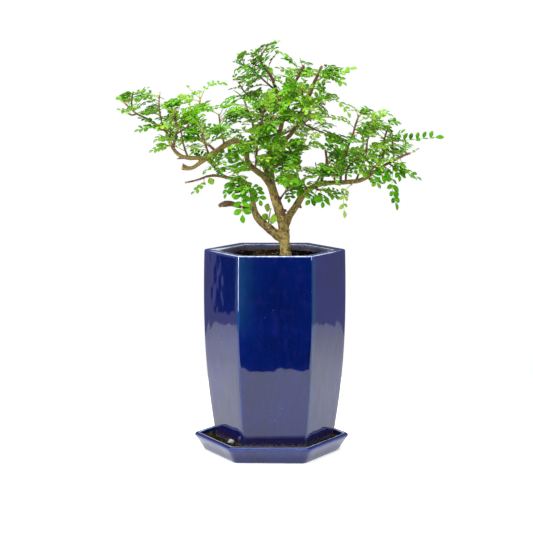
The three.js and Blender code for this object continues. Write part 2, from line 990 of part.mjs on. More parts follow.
    placed: [
      { pairs: 1, size: 0.75, rib: [[409.2, 152.7, -33], [414.4, 150.4, -33], [418.6, 147.4, -34]] },
      { pairs: 1, size: 0.6, rib: [[405.6, 153.8, -32], [403.6, 146, -34], [402, 140.4, -36]] },
      { pairs: 3, size: 0.9, rib: [[399.6, 156.8, -32], [406.8, 170, -38], [423.4, 179.6, -42]] },
      { pairs: 4, size: 1.1, rib: [[396.4, 158.2, -31], [398.4, 168, -38], [399.6, 182.6, -41]] },
    ],
  },
  {
    name: 'right_tassel',
    leaves: 1,
    stems: [
      {
        radii: [0.9, 0.8],
        route: [
          [388, 162.6, -31], [391.8, 165, -36], [393.6, 167.4, -40],
        ],
      },
    ],
    placed: [
      { pairs: 4, size: 1.25, rib: [[393.2, 166.8, -39], [392.2, 188, -46], [398.8, 210.4, -47]] },
      { pairs: 3, size: 1.25, rib: [[391.4, 164.8, -35], [384.4, 171, -44], [374.6, 180.4, -50]] },
    ],
  },
  {
    name: 'right_pendant',
    leaves: 0,
    stems: [
      {
        radii: [0.8, 0.7],
        route: [
          [350.2, 182.2, -24], [351.6, 183.8, -28],
        ],
      },
    ],
    placed: [
      { pairs: 3, size: 0.9, rib: [[351.4, 183.8, -28], [343.8, 196, -30], [346.4, 221.6, -31]] },
    ],
  },
  {
    name: 'right_skirt',
    leaves: 2,
    stems: [
      {
        radii: [1, 0.8],
        route: [
          [316.6, 186, -18], [316.2, 188.6, -24], [320.6, 189.8, -29],
        ],
      },
    ],
    placed: [
      { pairs: 3, size: 1.2, rib: [[317.2, 189.2, -26], [312, 196.4, -32], [305.6, 204, -36]] },
      { pairs: 4, size: 1.2, rib: [[319.2, 189.6, -28], [329, 190.6, -34], [339.6, 198, -38]] },
      { pairs: 3, size: 1.2, rib: [[320, 189.8, -29], [322.8, 197.6, -36], [321.4, 207, -40]] },
    ],
  },
  {
    name: 'right_inner',
    leaves: 7,
    stems: [
      {
        radii: [1, 0.7],
        route: [
          [334.8, 182.4, -22], [334.4, 174, -30], [335.6, 165, -36],
        ],
      },
    ],
    placed: [],
  },
  {
    name: 'right_apron',
    leaves: 4,
    stems: [
      {
        radii: [1, 0.7],
        route: [
          [366.6, 176.8, -28], [371, 170.4, -37], [376.4, 164, -44],
        ],
      },
    ],
    placed: [
      { pairs: 3, size: 1.15, rib: [[368.4, 174.4, -32], [374.6, 179.6, -40], [380.4, 188.4, -44]] },
    ],
  },
  {
    name: 'right_back',
    leaves: 7,
    stems: [
      {
        radii: [1.1, 0.7],
        route: [
          [355.6, 180.6, -26], [360, 170, -6], [364, 159, 12], [367.4, 149.6, 24],
        ],
      },
    ],
    placed: [],
  },
  {
    name: 'right_rear',
    leaves: 7,
    stems: [
      {
        radii: [1.1, 0.7],
        route: [
          [314, 186, -17], [320, 176, 6], [326.4, 166, 24], [332.4, 156.8, 38],
        ],
      },
    ],
    placed: [],
  },
];

// Repeatable draws between 0 and 1
function seeded(seed) {
  let state = Math.imul(seed + 1, 2654435761) >>> 0;
  return () => {
    state = (Math.imul(state, 1664525) + 1013904223) >>> 0;
    return state / 4294967296;
  };
}

function between(draw, [low, high]) {
  return low + (high - low) * draw();
}

function spot([across, down, back]) {
  const onBoard = new THREE.Vector3(across - BOARD.middle, 0, BOARD.foot - down);
  return onBoard.sub(EYE).multiplyScalar(1 - back / EYE.y).add(EYE);
}

// Where a point is seen on the board
function onBoard(point) {
  const sight = point.clone().sub(EYE);
  sight.multiplyScalar(-EYE.y / sight.y).add(EYE);
  return [sight.x + BOARD.middle, BOARD.foot - sight.z];
}

// Solids

function toSolid(geometry) {
  const bare = geometry.clone();
  bare.deleteAttribute('normal');
  bare.deleteAttribute('uv');
  const welded = mergeVertices(bare, 1e-4);
  const corners = [...welded.index.array];
  const triangles = [];
  for (let i = 0; i < corners.length; i += 3) {
    const [a, b, c] = corners.slice(i, i + 3);
    if (a !== b && b !== c && c !== a) triangles.push(a, b, c);
  }
  return new wasm.Manifold(new wasm.Mesh({
    numProp: 3,
    vertProperties: new Float32Array(welded.attributes.position.array),
    triVerts: new Uint32Array(triangles),
  }));
}

function joined(solids) {
  return solids.reduce((whole, solid) => whole.add(solid));
}

function largestBody(solid) {
  const bodies = solid.decompose();
  return bodies.reduce((best, body) => (body.volume() > best.volume() ? body : best));
}

function toMesh(name, solid, look) {
  const { vertProperties, triVerts } = solid.getMesh();
  const geometry = new THREE.BufferGeometry();
  geometry.setAttribute('position', new THREE.BufferAttribute(vertProperties, 3));
  geometry.setIndex(new THREE.BufferAttribute(triVerts, 1));
  geometry.computeVertexNormals();
  const mesh = new THREE.Mesh(geometry, new THREE.MeshStandardMaterial(look));
  mesh.name = name;
  return mesh;
}

// Moves every vertex of a geometry by a rule
function reshape(geometry, rule) {
  const place = geometry.attributes.position;
  const point = new THREE.Vector3();
  for (let i = 0; i < place.count; i += 1) {
    rule(point.fromBufferAttribute(place, i));
    place.setXYZ(i, point.x, point.y, point.z);
  }
  return geometry;
}

// Turns a profile of [corner radius, height] into a hexagon with a corner at +X and eased corners
function hexagonal(profile) {
  const outline = profile.map(([radius, height]) => new THREE.Vector2(radius, height));
  const geometry = new THREE.LatheGeometry(outline, 12).rotateX(Math.PI / 2);
  const flat = Math.cos(Math.PI / 6);
  return reshape(geometry, (point) => {
    const step = Math.round(THREE.MathUtils.radToDeg(Math.atan2(point.y, point.x)) / 30);
    const angle = step % 2 === 0 ? step * 30 + CORNER_EASE : (step + 1) * 30 - CORNER_EASE;
    const offFace = THREE.MathUtils.degToRad(30 - CORNER_EASE);
    const radius = (Math.hypot(point.x, point.y) * flat) / Math.cos(offFace);
    const turn = THREE.MathUtils.degToRad(angle);
    point.set(radius * Math.cos(turn), radius * Math.sin(turn), point.z);
  });
}

// One tube through the points, of a round tube's size with the radius at each; its section, carried along
// without twisting, is a polygon with the area of the circle
function taperedTube(points, radii, sides) {
  const swell = Math.sqrt((2 * Math.PI) / (sides * Math.sin((2 * Math.PI) / sides)));
  const last = points.length - 1;
  const along = points.map((point, i) => (
    points[Math.min(i + 1, last)].clone().sub(points[Math.max(i - 1, 0)]).normalize()));
  let across = new THREE.Vector3(1, 0, 0);
  if (Math.abs(along[0].x) > 0.8) across = new THREE.Vector3(0, 0, 1);
  const frames = along.map((way) => {
    across = across.clone().addScaledVector(way, -across.dot(way)).normalize();
    return { across, aside: across.clone().cross(way) };
  });
  return reshape(new THREE.CylinderGeometry(1, 1, 1, sides, last), (point) => {
    const ring = Math.round((point.y + 0.5) * last);
    const { across: first, aside: second } = frames[ring];
    const [x, z] = [point.x * radii[ring] * swell, point.z * radii[ring] * swell];
    point.copy(points[ring]).addScaledVector(first, x).addScaledVector(second, z);
  });
}

// Pot and saucer

// Corner radius of the pot's outside at a height above its foot
function potRadius(height) {
  if (height > POT.bellyHeight) {
    const rise = (height - POT.bellyHeight) / (POT.height - POT.bellyHeight);
    return POT.bellyRadius - POT.drawIn * rise ** 2;
  }
  const fall = 1 - height / POT.bellyHeight;
  return POT.bellyRadius - (POT.bellyRadius - POT.footRadius) * fall ** POT.swell;
}

function potOutside(heights) {
  return heights.map((height) => [potRadius(height), height]);
}

function potInside() {
  return WALL_HEIGHTS.map((height) => [potRadius(height) - POT.wall, height]);
}

// The inside's curve from the floor to the wall, as [corner radius, height]
function potFloorEdge(lift) {
  const wall = potRadius(POT.floor) - POT.wall;
  return [
    [wall - 2 * POT.floorEase, POT.floor + lift],
    [wall - POT.floorEase / 2, POT.floor + POT.floorEase],
  ];
}

function inPotPlace(geometry) {
  return geometry.translate(POT.x, POT.y, POT.foot);
}

function pot() {
  const top = POT.height;
  const rim = potRadius(top);
  const lip = rim - POT.lip;
  const foot = POT.footRadius - POT.footRing;
  const underLip = top - 2 * POT.lipDepth;
  const profile = [
    [POT.drainRadius, POT.footRecess],
    [foot - POT.footRecess, POT.footRecess],
    [foot, 0],
    ...potOutside([0, ...WALL_HEIGHTS, top - POT.shoulder, top - 1.5 * POT.rimEase]),
    [rim - POT.rimEase, top],
    [lip + POT.rimEase, top - POT.rimEase / 2],
    [lip, top - 1.5 * POT.rimEase],
    [lip, top - POT.lipDepth],
    [potRadius(underLip) - POT.wall, underLip],
    ...potInside().reverse(),
    ...potFloorEdge(0).reverse(),
    [POT.drainRadius, POT.floor],
    [POT.drainRadius, POT.footRecess],
  ];
  return toSolid(inPotPlace(hexagonal(profile)));
}

function saucerInside(height) {
  const rise = (height - SAUCER.floor) / (SAUCER.height - SAUCER.floor);
  return SAUCER.insideRadius + rise * (SAUCER.rimRadius - SAUCER.wall - SAUCER.insideRadius);
}

function saucer() {
  const { height, floor, baseRadius, rimRadius, wall, edge } = SAUCER;
  const soften = edge / 2;
  const profile = [
    [0, 0],
    [baseRadius, 0],
    [baseRadius + edge, edge],
    [rimRadius, height - edge],
    [rimRadius - soften, height],
    [rimRadius - wall + soften, height],
    [saucerInside(height - soften), height - soften],
    [saucerInside(floor + soften), floor + soften],
    [saucerInside(floor) - soften, floor],
    [0, floor],
  ];
  return toSolid(hexagonal(profile).rotateZ(THREE.MathUtils.degToRad(SAUCER.turn)));
}

// A filled block of the pot's foot, grown by the clearance, that other pieces are cut with
function potFootCutter() {
  const grow = GAP / Math.cos(Math.PI / 6);
  const top = 1.4 * GRIT.top;
  const profile = [
    [0, -GAP],
    [potRadius(0) + grow, -GAP],
    [potRadius(top) + grow, top],
    [0, top],
  ];
  return toSolid(inPotPlace(hexagonal(profile)));
}

function saucerGrit() {
  const soften = SAUCER.edge / 2;
  const low = SAUCER.floor + GAP;
  const shrink = (1.4 * GAP) / Math.cos(Math.PI / 6);
  const rim = saucerInside(GRIT.top);
  const profile = [
    [0, low],
    [saucerInside(SAUCER.floor) - soften - shrink, low],
    [saucerInside(SAUCER.floor + soften) - shrink, SAUCER.floor + soften],
    [rim - shrink, GRIT.top],
    ...GRIT.rings.map((inwards) => [rim - inwards, GRIT.top]),
    [GRIT.innerRadius, GRIT.top],
    [0, GRIT.top],
  ];
  const bed = reshape(hexagonal(profile), (point) => {
    const wave = Math.sin(point.x / GRIT.reliefSize) * Math.cos(point.y / GRIT.reliefSize);
    if (point.z > GRIT.top - soften) point.z += GRIT.relief * wave;
  });
  return toSolid(bed.rotateZ(THREE.MathUtils.degToRad(SAUCER.turn))).subtract(potFootCutter());
}

function pumiceChip() {
  const geometry = new THREE.OctahedronGeometry(0.5, 0).rotateY(CHIP.roll).rotateX(CHIP.pitch);
  geometry.scale(CHIP.across, CHIP.deep, CHIP.tall);
  geometry.computeBoundingBox();
  const lift = GRIT.top + GRIT.relief + GAP - geometry.boundingBox.min.z;
  return toSolid(geometry.translate(CHIP.x, CHIP.y, lift));
}

// Inside the pot

function drainMesh() {
  const pitch = (MESH.side - MESH.bar) / MESH.openings;
  const hole = pitch - MESH.bar;
  const middle = (MESH.openings - 1) / 2;
  const plate = toSolid(new THREE.BoxGeometry(MESH.side, MESH.side, MESH.thickness));
  let sheet = plate;
  for (let i = 0; i < MESH.openings; i += 1) {
    for (let j = 0; j < MESH.openings; j += 1) {
      const opening = new THREE.BoxGeometry(hole, hole, 3 * MESH.thickness);
      opening.translate((i - middle) * pitch, (j - middle) * pitch, 0);
      sheet = sheet.subtract(toSolid(opening));
    }
  }
  return sheet.translate(POT.x, POT.y, POT.foot + POT.floor + GAP + MESH.thickness / 2);
}

function drainMeshPocket() {
  const side = MESH.side + 2 * GAP;
  const height = MESH.thickness + 2 * GAP;
  const block = new THREE.BoxGeometry(side, side, 2 * height).translate(0, 0, POT.floor);
  return toSolid(inPotPlace(block.translate(0, 0, GAP)));
}

function soilRelief(x, y) {
  const hump = Math.sin(x / SOIL.humpSize + 1) * Math.cos(y / SOIL.humpSize);
  return SOIL.hump * hump + SOIL.ripple * Math.sin((x + y) / SOIL.rippleSize);
}

function soil(trunkCutter) {
  const top = SOIL.top - POT.foot;
  const lip = potRadius(POT.height) - POT.lip;
  const underLip = POT.height - 2 * POT.lipDepth;
  const inset = GAP / Math.cos(Math.PI / 6);
  const wallSide = [
    ...potFloorEdge(GAP),
    ...potInside(),
    [potRadius(underLip) - POT.wall, underLip],
    [lip, POT.height - POT.lipDepth],
    [lip, top - 1],
  ].map(([radius, height]) => [radius - inset, height]);
  const surface = [lip - POT.wall, ...SOIL.rings].map((radius) => [radius, top]);
  const block = hexagonal([[0, POT.floor + GAP], ...wallSide, ...surface]);
  reshape(block, (point) => {
    if (point.z > top - 1 + GAP) point.z += soilRelief(point.x, point.y);
  });
  return toSolid(inPotPlace(block)).subtract(drainMeshPocket()).subtract(trunkCutter);
}

// Wood

function woodTube({ route, sides }, grow) {
  const radii = route.map((point) => point[3] + grow / Math.cos(Math.PI / sides));
  const points = route.map(spot);
  if (grow > 0) {
    const last = points.length - 1;
    const tail = points[last].clone().sub(points[last - 1]).normalize();
    points[last].addScaledVector(tail, grow);
    points[0].addScaledVector(points[1].clone().sub(points[0]).normalize(), -grow);
  }
  return toSolid(taperedTube(points, radii, sides));
}

function wood(grow) {
  return joined(WOOD.map((limb) => woodTube(limb, grow)));
}

// Leaves

// Half of a simple leaf's outline, [along, aside]
function simpleHalf(length) {
  const start = length * SIMPLE_LEAF.petiole;
  const blade = length - start;
  const outline = SIMPLE_LEAF.outline.map(([along, aside]) => (
    [start + along * blade, aside * SIMPLE_LEAF.breadth * (blade / 2)]));
  return [[0, LEAF.ribWidth / 2], [start, LEAF.ribWidth / 2], ...outline];
}

// Half of a compound leaf's outline: from the petiole along the rib, out and in for each leaflet
function leafHalf(length, wanted, size) {
  if (wanted === 0) return simpleHalf(length);
  const pairs = Math.min(wanted, LEAF.mostPairs, Math.floor(length / LEAF.pairSpacing));
  const start = length * LEAF.petiole;
  const end = length * LEAF.terminal;
  const step = (end - start) / Math.max(pairs, 1);
  const onRib = (along) => [along, (LEAF.ribWidth / 2) * (1 - 0.5 * (along / length) ** 2)];
  const points = [onRib(0)];
  for (let i = 0; i < pairs; i += 1) {
    const reach = LEAF.reach * size * (i === 0 ? LEAF.lowestPair : 1);
    points.push(onRib(start + i * step));
    PAIRED_LEAFLET.forEach(([along, aside]) => points.push([start + (i + along) * step, aside * reach]));
  }
  const [along, aside] = END_LEAFLET;
  return [...points, onRib(end), [end + along * (length - end), aside * LEAF.reach * size]];
}

// The rib's curve through its three points, and the way the blade spreads to the side of it
function ribOf({ rib: [base, middle, tip], facing }) {
  const pull = middle.clone().multiplyScalar(2).sub(base.clone().add(tip).multiplyScalar(0.5));
  const curve = new THREE.QuadraticBezierCurve3(base, pull, tip);
  return (share) => {
    const way = curve.getTangent(share);
    const side = way.clone().cross(facing).normalize();
    return { point: curve.getPoint(share), side, over: side.clone().cross(way) };
  };
}

function leafLength({ rib: [base, middle, tip] }) {
  return base.distanceTo(middle) + middle.distanceTo(tip);
}

function leafSolid(leaf) {
  const length = leafLength(leaf);
  const half = leafHalf(length, leaf.pairs, leaf.size);
  const mirrored = half.map(([along, aside]) => [along, -aside]).reverse();
  const outline = [...half, [length, 0], ...mirrored].map(([x, y]) => new THREE.Vector2(x, y));
  const shape = new THREE.Shape(outline);
  const blade = new THREE.ExtrudeGeometry(shape, { depth: LEAF.thickness, bevelEnabled: false });
  const rib = ribOf(leaf);
  return toSolid(reshape(blade, (at) => {
    const { point, side, over } = rib(at.x / length);
    const lift = at.z - LEAF.thickness / 2;
    at.copy(point.addScaledVector(side, -at.y).addScaledVector(over, lift));
  }));
}

// Leaves turn their faces up, a little outwards and a little to the front
function facingAt(point, draw) {
  const outwards = new THREE.Vector3(point.x - FACING.x, point.y - FACING.y, 0).normalize();
  const loose = () => between(draw, [-FACING.loose, FACING.loose]);
  const upwards = new THREE.Vector3(0, -FACING.front, FACING.up);
  const facing = outwards.multiplyScalar(FACING.outwards).add(upwards);
  return facing.add(new THREE.Vector3(loose(), loose(), loose())).normalize();
}

// The stem's point and direction at a share of the whole length of the shoot's stems
function stationOn(stems, share) {
  const parts = [];
  stems.forEach(({ route }) => {
    const points = route.map(spot);
    points.slice(1).forEach((end, i) => parts.push([points[i], end]));
  });
  const total = parts.reduce((sum, [start, end]) => sum + start.distanceTo(end), 0);
  let left = share * total;
  const [start, end] = parts.find(([from, to], i) => {
    const size = from.distanceTo(to);
    if (left <= size || i === parts.length - 1) return true;
    left -= size;
    return false;
  });
  const way = end.clone().sub(start).normalize();
  return { point: start.clone().addScaledVector(way, left), way };
}

// One leaf by the rule: round the stem by the golden angle, spread flat, arched and drooping at the tip
function grownLeaf(stems, count, number, draw) {
  const share = GROWTH.firstStation + ((1 - GROWTH.firstStation) * (number + 0.5)) / count;
  const { point, way } = stationOn(stems, share);
  const up = new THREE.Vector3(0, 0, 1);
  const level = way.clone().cross(Math.abs(way.z) > 0.95 ? new THREE.Vector3(1, 0, 0) : up).normalize();
  const steep = level.clone().cross(way);
  const turn = number * GROWTH.goldenAngle + between(draw, [0, 2 * Math.PI]);
  const opening = number === count - 1 ? GROWTH.endOpening : between(draw, GROWTH.opening);
  const heading = way.clone().multiplyScalar(Math.cos(opening));
  heading.addScaledVector(level, Math.cos(turn) * Math.sin(opening));
  heading.addScaledVector(steep, Math.sin(turn) * Math.sin(opening));
  heading.z = heading.z * GROWTH.flatten + GROWTH.rise;
  heading.normalize();
  const length = between(draw, GROWTH.length);
  const droop = between(draw, GROWTH.droop);
  const size = between(draw, GROWTH.size);
  const onLeaf = (share, lift) => (
    point.clone().addScaledVector(heading, share * length).addScaledVector(up, lift * length));
  const rib = [point, onLeaf(0.5, GROWTH.arch), onLeaf(1, -droop)];
  return { rib, pairs: GROWTH.pairs, size, facing: facingAt(point, draw) };
}

function placedLeaf({ rib, pairs, size }, bend, draw) {
  const [base, middle, tip] = rib.map(spot);
  middle.y += bend / 2;
  tip.y += bend;
  return { rib: [base, middle, tip], pairs, size, facing: facingAt(middle, draw) };
}

// Room: which piece has taken each small cell of space, so that leaves are bent clear of other pieces

const taken = new Map();

function cellOf(point, [i, j, k]) {
  return [point.x / CELL + i, point.y / CELL + j, point.z / CELL + k].map(Math.floor).join();
}

const AROUND = [-1, 0, 1].flatMap((i) => [-1, 0, 1].flatMap((j) => [-1, 0, 1].map((k) => [i, j, k])));

function isFree(points, ownStem) {
  return points.every((point) => AROUND.every((shift) => {
    const holder = taken.get(cellOf(point, shift));
    return holder === undefined || holder === ownStem;
  }));
}

function take(points, owner) {
  points.forEach((point) => taken.set(cellOf(point, [0, 0, 0]), owner));
}

function isInside([across, down], outline) {
  return outline.reduce((inside, [x, y], i) => {
    const [fromX, fromY] = outline.at(i - 1);
    if ((y > down) === (fromY > down)) return inside;
    return across < fromX + ((down - fromY) * (x - fromX)) / (y - fromY) ? !inside : inside;
  }, false);
}

// Leaves by the rule stay inside the crown's outline and out of its light gaps
function isInCrown(leaf) {
  const rib = ribOf(leaf);
  const edges = [[1, 0], [0.85, 1], [0.85, -1], [0.5, 1], [0.5, -1]];
  return edges.every(([share, flank]) => {
    const { point, side } = rib(share);
    const seen = onBoard(point.addScaledVector(side, flank * LEAF.reach * leaf.size));
    return isInside(seen, CROWN) && !CLEARINGS.some((clearing) => isInside(seen, clearing));
  });
}

function tubeCells(points, radii) {
  const cells = [];
  points.slice(1).forEach((end, i) => {
    const start = points[i];
    const steps = Math.ceil(start.distanceTo(end) / TUBE_STEP);
    for (let step = 0; step <= steps; step += 1) {
      const middle = start.clone().lerp(end, step / steps);
      const radius = THREE.MathUtils.lerp(radii[i], radii[i + 1], step / steps);
      cells.push(middle);
      [[1, 0, 0], [-1, 0, 0], [0, 1, 0], [0, -1, 0], [0, 0, 1], [0, 0, -1]].forEach(([x, y, z]) => (
        cells.push(middle.clone().addScaledVector(new THREE.Vector3(x, y, z), radius))));
    }
  });
  return cells;
}

function leafCells(leaf) {
  const rib = ribOf(leaf);
  const cells = [];
  for (let step = FIRST_RIB_STEP; step <= RIB_STEPS; step += 1) {
    const { point, side } = rib(step / RIB_STEPS);
    const reach = step === RIB_STEPS ? 0 : LEAF.reach * leaf.size;
    [-1, -0.5, 0, 0.5, 1].forEach((share) => (
      cells.push(point.clone().addScaledVector(side, share * reach))));
  }
  return cells;
}

function stemRadii({ radii: [thick, thin], route }) {
  return route.map((point, i) => THREE.MathUtils.lerp(thick, thin, i / (route.length - 1)));
}

// Takes the first of a leaf's tries that is clear of every other piece, or none
function settle(name, tries) {
  const leaf = tries.find((candidate) => isFree(leafCells(candidate), name));
  if (!leaf) return [];
  take(leafCells(leaf), 'leaf');
  return [leaf];
}

function settledLeaves() {
  WOOD.forEach(({ route }) => (
    take(tubeCells(route.map(spot), route.map((point) => point[3])), 'wood')));
  SHOOTS.forEach((shoot) => shoot.stems.forEach((stem) => (
    take(tubeCells(stem.route.map(spot), stemRadii(stem)), shoot.name))));
  const placed = SHOOTS.map((shoot, index) => shoot.placed.flatMap((leaf, number) => {
    const seed = index * SEEDS.shoot + number;
    return settle(shoot.name, BENDS.map((bend) => placedLeaf(leaf, bend, seeded(seed))));
  }));
  const grown = SHOOTS.map((shoot, index) => {
    const numbers = [...Array(shoot.leaves).keys()].filter((number) => number % LEAF_STRIDE === 1);
    return numbers.flatMap((number) => {
      const seed = index * SEEDS.shoot + SEEDS.grown + number;
      const tries = [...Array(LEAF_TRIES).keys()].map((attempt) => (
        grownLeaf(shoot.stems, shoot.leaves, number, seeded(seed + attempt * SEEDS.attempt))));
      return settle(shoot.name, tries.filter(isInCrown));
    });
  });
  return SHOOTS.map((shoot, index) => [...placed[index], ...grown[index]]);
}

function leafyStem(shoot, leaves, woodCutter) {
  const stems = shoot.stems.map((stem) => (
    toSolid(taperedTube(stem.route.map(spot), stemRadii(stem), STEM_SIDES))));
  return largestBody(joined([...stems, ...leaves.map(leafSolid)]).subtract(woodCutter));
}

// Assembly

const GLAZE = { color: 0x14227a, roughness: 0.12, metalness: 0 };
const BARK = { color: 0x8a7350, roughness: 0.85, metalness: 0 };
const LEAVES = { color: 0x3f8f2f, roughness: 0.45, metalness: 0 };
const EARTH = { color: 0x3a281c, roughness: 0.95, metalness: 0 };
const GRAVEL = { color: 0x211d1a, roughness: 0.9, metalness: 0 };
const PUMICE = { color: 0xe8e6e0, roughness: 0.8, metalness: 0 };
const NETTING = { color: 0x1d1f20, roughness: 0.6, metalness: 0 };

const woodCutter = wood(GAP);
const bonsai = new THREE.Group();
bonsai.add(toMesh('saucer', saucer(), GLAZE));
bonsai.add(toMesh('saucer_grit', saucerGrit(), GRAVEL));
bonsai.add(toMesh('pumice_chip', pumiceChip(), PUMICE));
bonsai.add(toMesh('pot', pot(), GLAZE));
bonsai.add(toMesh('drain_mesh', drainMesh(), NETTING));
bonsai.add(toMesh('soil', soil(woodCutter), EARTH));
bonsai.add(toMesh('trunk_and_branches', wood(0), BARK));
settledLeaves().forEach((leaves, index) => {
  const shoot = SHOOTS[index];
  bonsai.add(toMesh(`leafy_${shoot.name}`, leafyStem(shoot, leaves, woodCutter), LEAVES));
});

export default bonsai;
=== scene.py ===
"""A Japanese pepper bonsai in a six-sided glazed pot on its drip saucer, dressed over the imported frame."""
import math
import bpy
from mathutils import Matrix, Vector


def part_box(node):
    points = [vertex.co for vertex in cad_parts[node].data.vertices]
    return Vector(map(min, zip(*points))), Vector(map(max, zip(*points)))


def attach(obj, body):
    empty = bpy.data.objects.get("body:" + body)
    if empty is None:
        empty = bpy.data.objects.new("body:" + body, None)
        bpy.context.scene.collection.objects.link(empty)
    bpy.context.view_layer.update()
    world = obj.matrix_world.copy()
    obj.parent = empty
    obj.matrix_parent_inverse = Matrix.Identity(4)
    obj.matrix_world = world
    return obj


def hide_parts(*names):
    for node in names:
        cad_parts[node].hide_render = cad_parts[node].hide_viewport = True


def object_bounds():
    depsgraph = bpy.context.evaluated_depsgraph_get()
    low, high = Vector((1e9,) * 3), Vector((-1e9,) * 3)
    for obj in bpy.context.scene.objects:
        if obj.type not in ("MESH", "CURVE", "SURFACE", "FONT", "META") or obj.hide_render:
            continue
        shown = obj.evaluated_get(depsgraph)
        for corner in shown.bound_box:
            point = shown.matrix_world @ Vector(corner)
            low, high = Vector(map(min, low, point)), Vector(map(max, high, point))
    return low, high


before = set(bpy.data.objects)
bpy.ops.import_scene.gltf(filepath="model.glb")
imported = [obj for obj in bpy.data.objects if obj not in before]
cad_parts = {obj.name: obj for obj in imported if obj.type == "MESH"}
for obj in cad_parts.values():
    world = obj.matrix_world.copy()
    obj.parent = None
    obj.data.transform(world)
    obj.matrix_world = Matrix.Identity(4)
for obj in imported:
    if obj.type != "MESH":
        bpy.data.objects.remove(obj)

from types import SimpleNamespace as Plan

import bmesh
import bpy
from bpy.props import FloatProperty, FloatVectorProperty, IntProperty, PointerProperty
from mathutils import Matrix, Vector, kdtree, noise

bl_info = {
    "name": "Japanese Pepper Bonsai",
    "version": (1, 0, 0),
    "blender": (4, 5, 0),
    "location": "View3D > Sidebar > Bonsai",
    "description": "Dresses a potted bonsai: glazed pot and saucer, soil, wood and compound leaves",
    "category": "Add Mesh",
}

CAD_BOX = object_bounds()
MM = 0.001

# Places shared with the solid model, in millimetres and degrees
GAP = 0.3
SAUCER = Plan(turn=-1.6, height=17.8, floor=5.2, base=68.2, rim=79.0, inside=66.8, wall=5.4, edge=1.4)
POT = Plan(x=3.3, y=1.0, foot=5.5, height=200.2, foot_radius=58.3, belly=72.0, belly_height=153.7,
           swell=2.2, draw_in=0.7, wall=9.2, lip=12.7, lip_depth=12.0, floor=9.5, foot_ring=7.0,
           foot_recess=2.0, floor_ease=3.0, drain=8.0)
SOIL_TOP = 200.3
GRIT_TOP = 14.6
FLAT = math.cos(math.pi / 6)
FACE_TURNS = (math.pi / 6, math.pi / 2, 5 * math.pi / 6)

# The tree is drawn on an upright board through the origin, as seen from the eye. A point of a route is
# (across, down, back): from the board's left and top edges, then behind the board along the line of
# sight. A fourth number is the wood's radius there.
EYE = Vector((-5.0, -1576.5, 379.5))
BOARD_MIDDLE = 271.5
BOARD_FOOT = 454.3

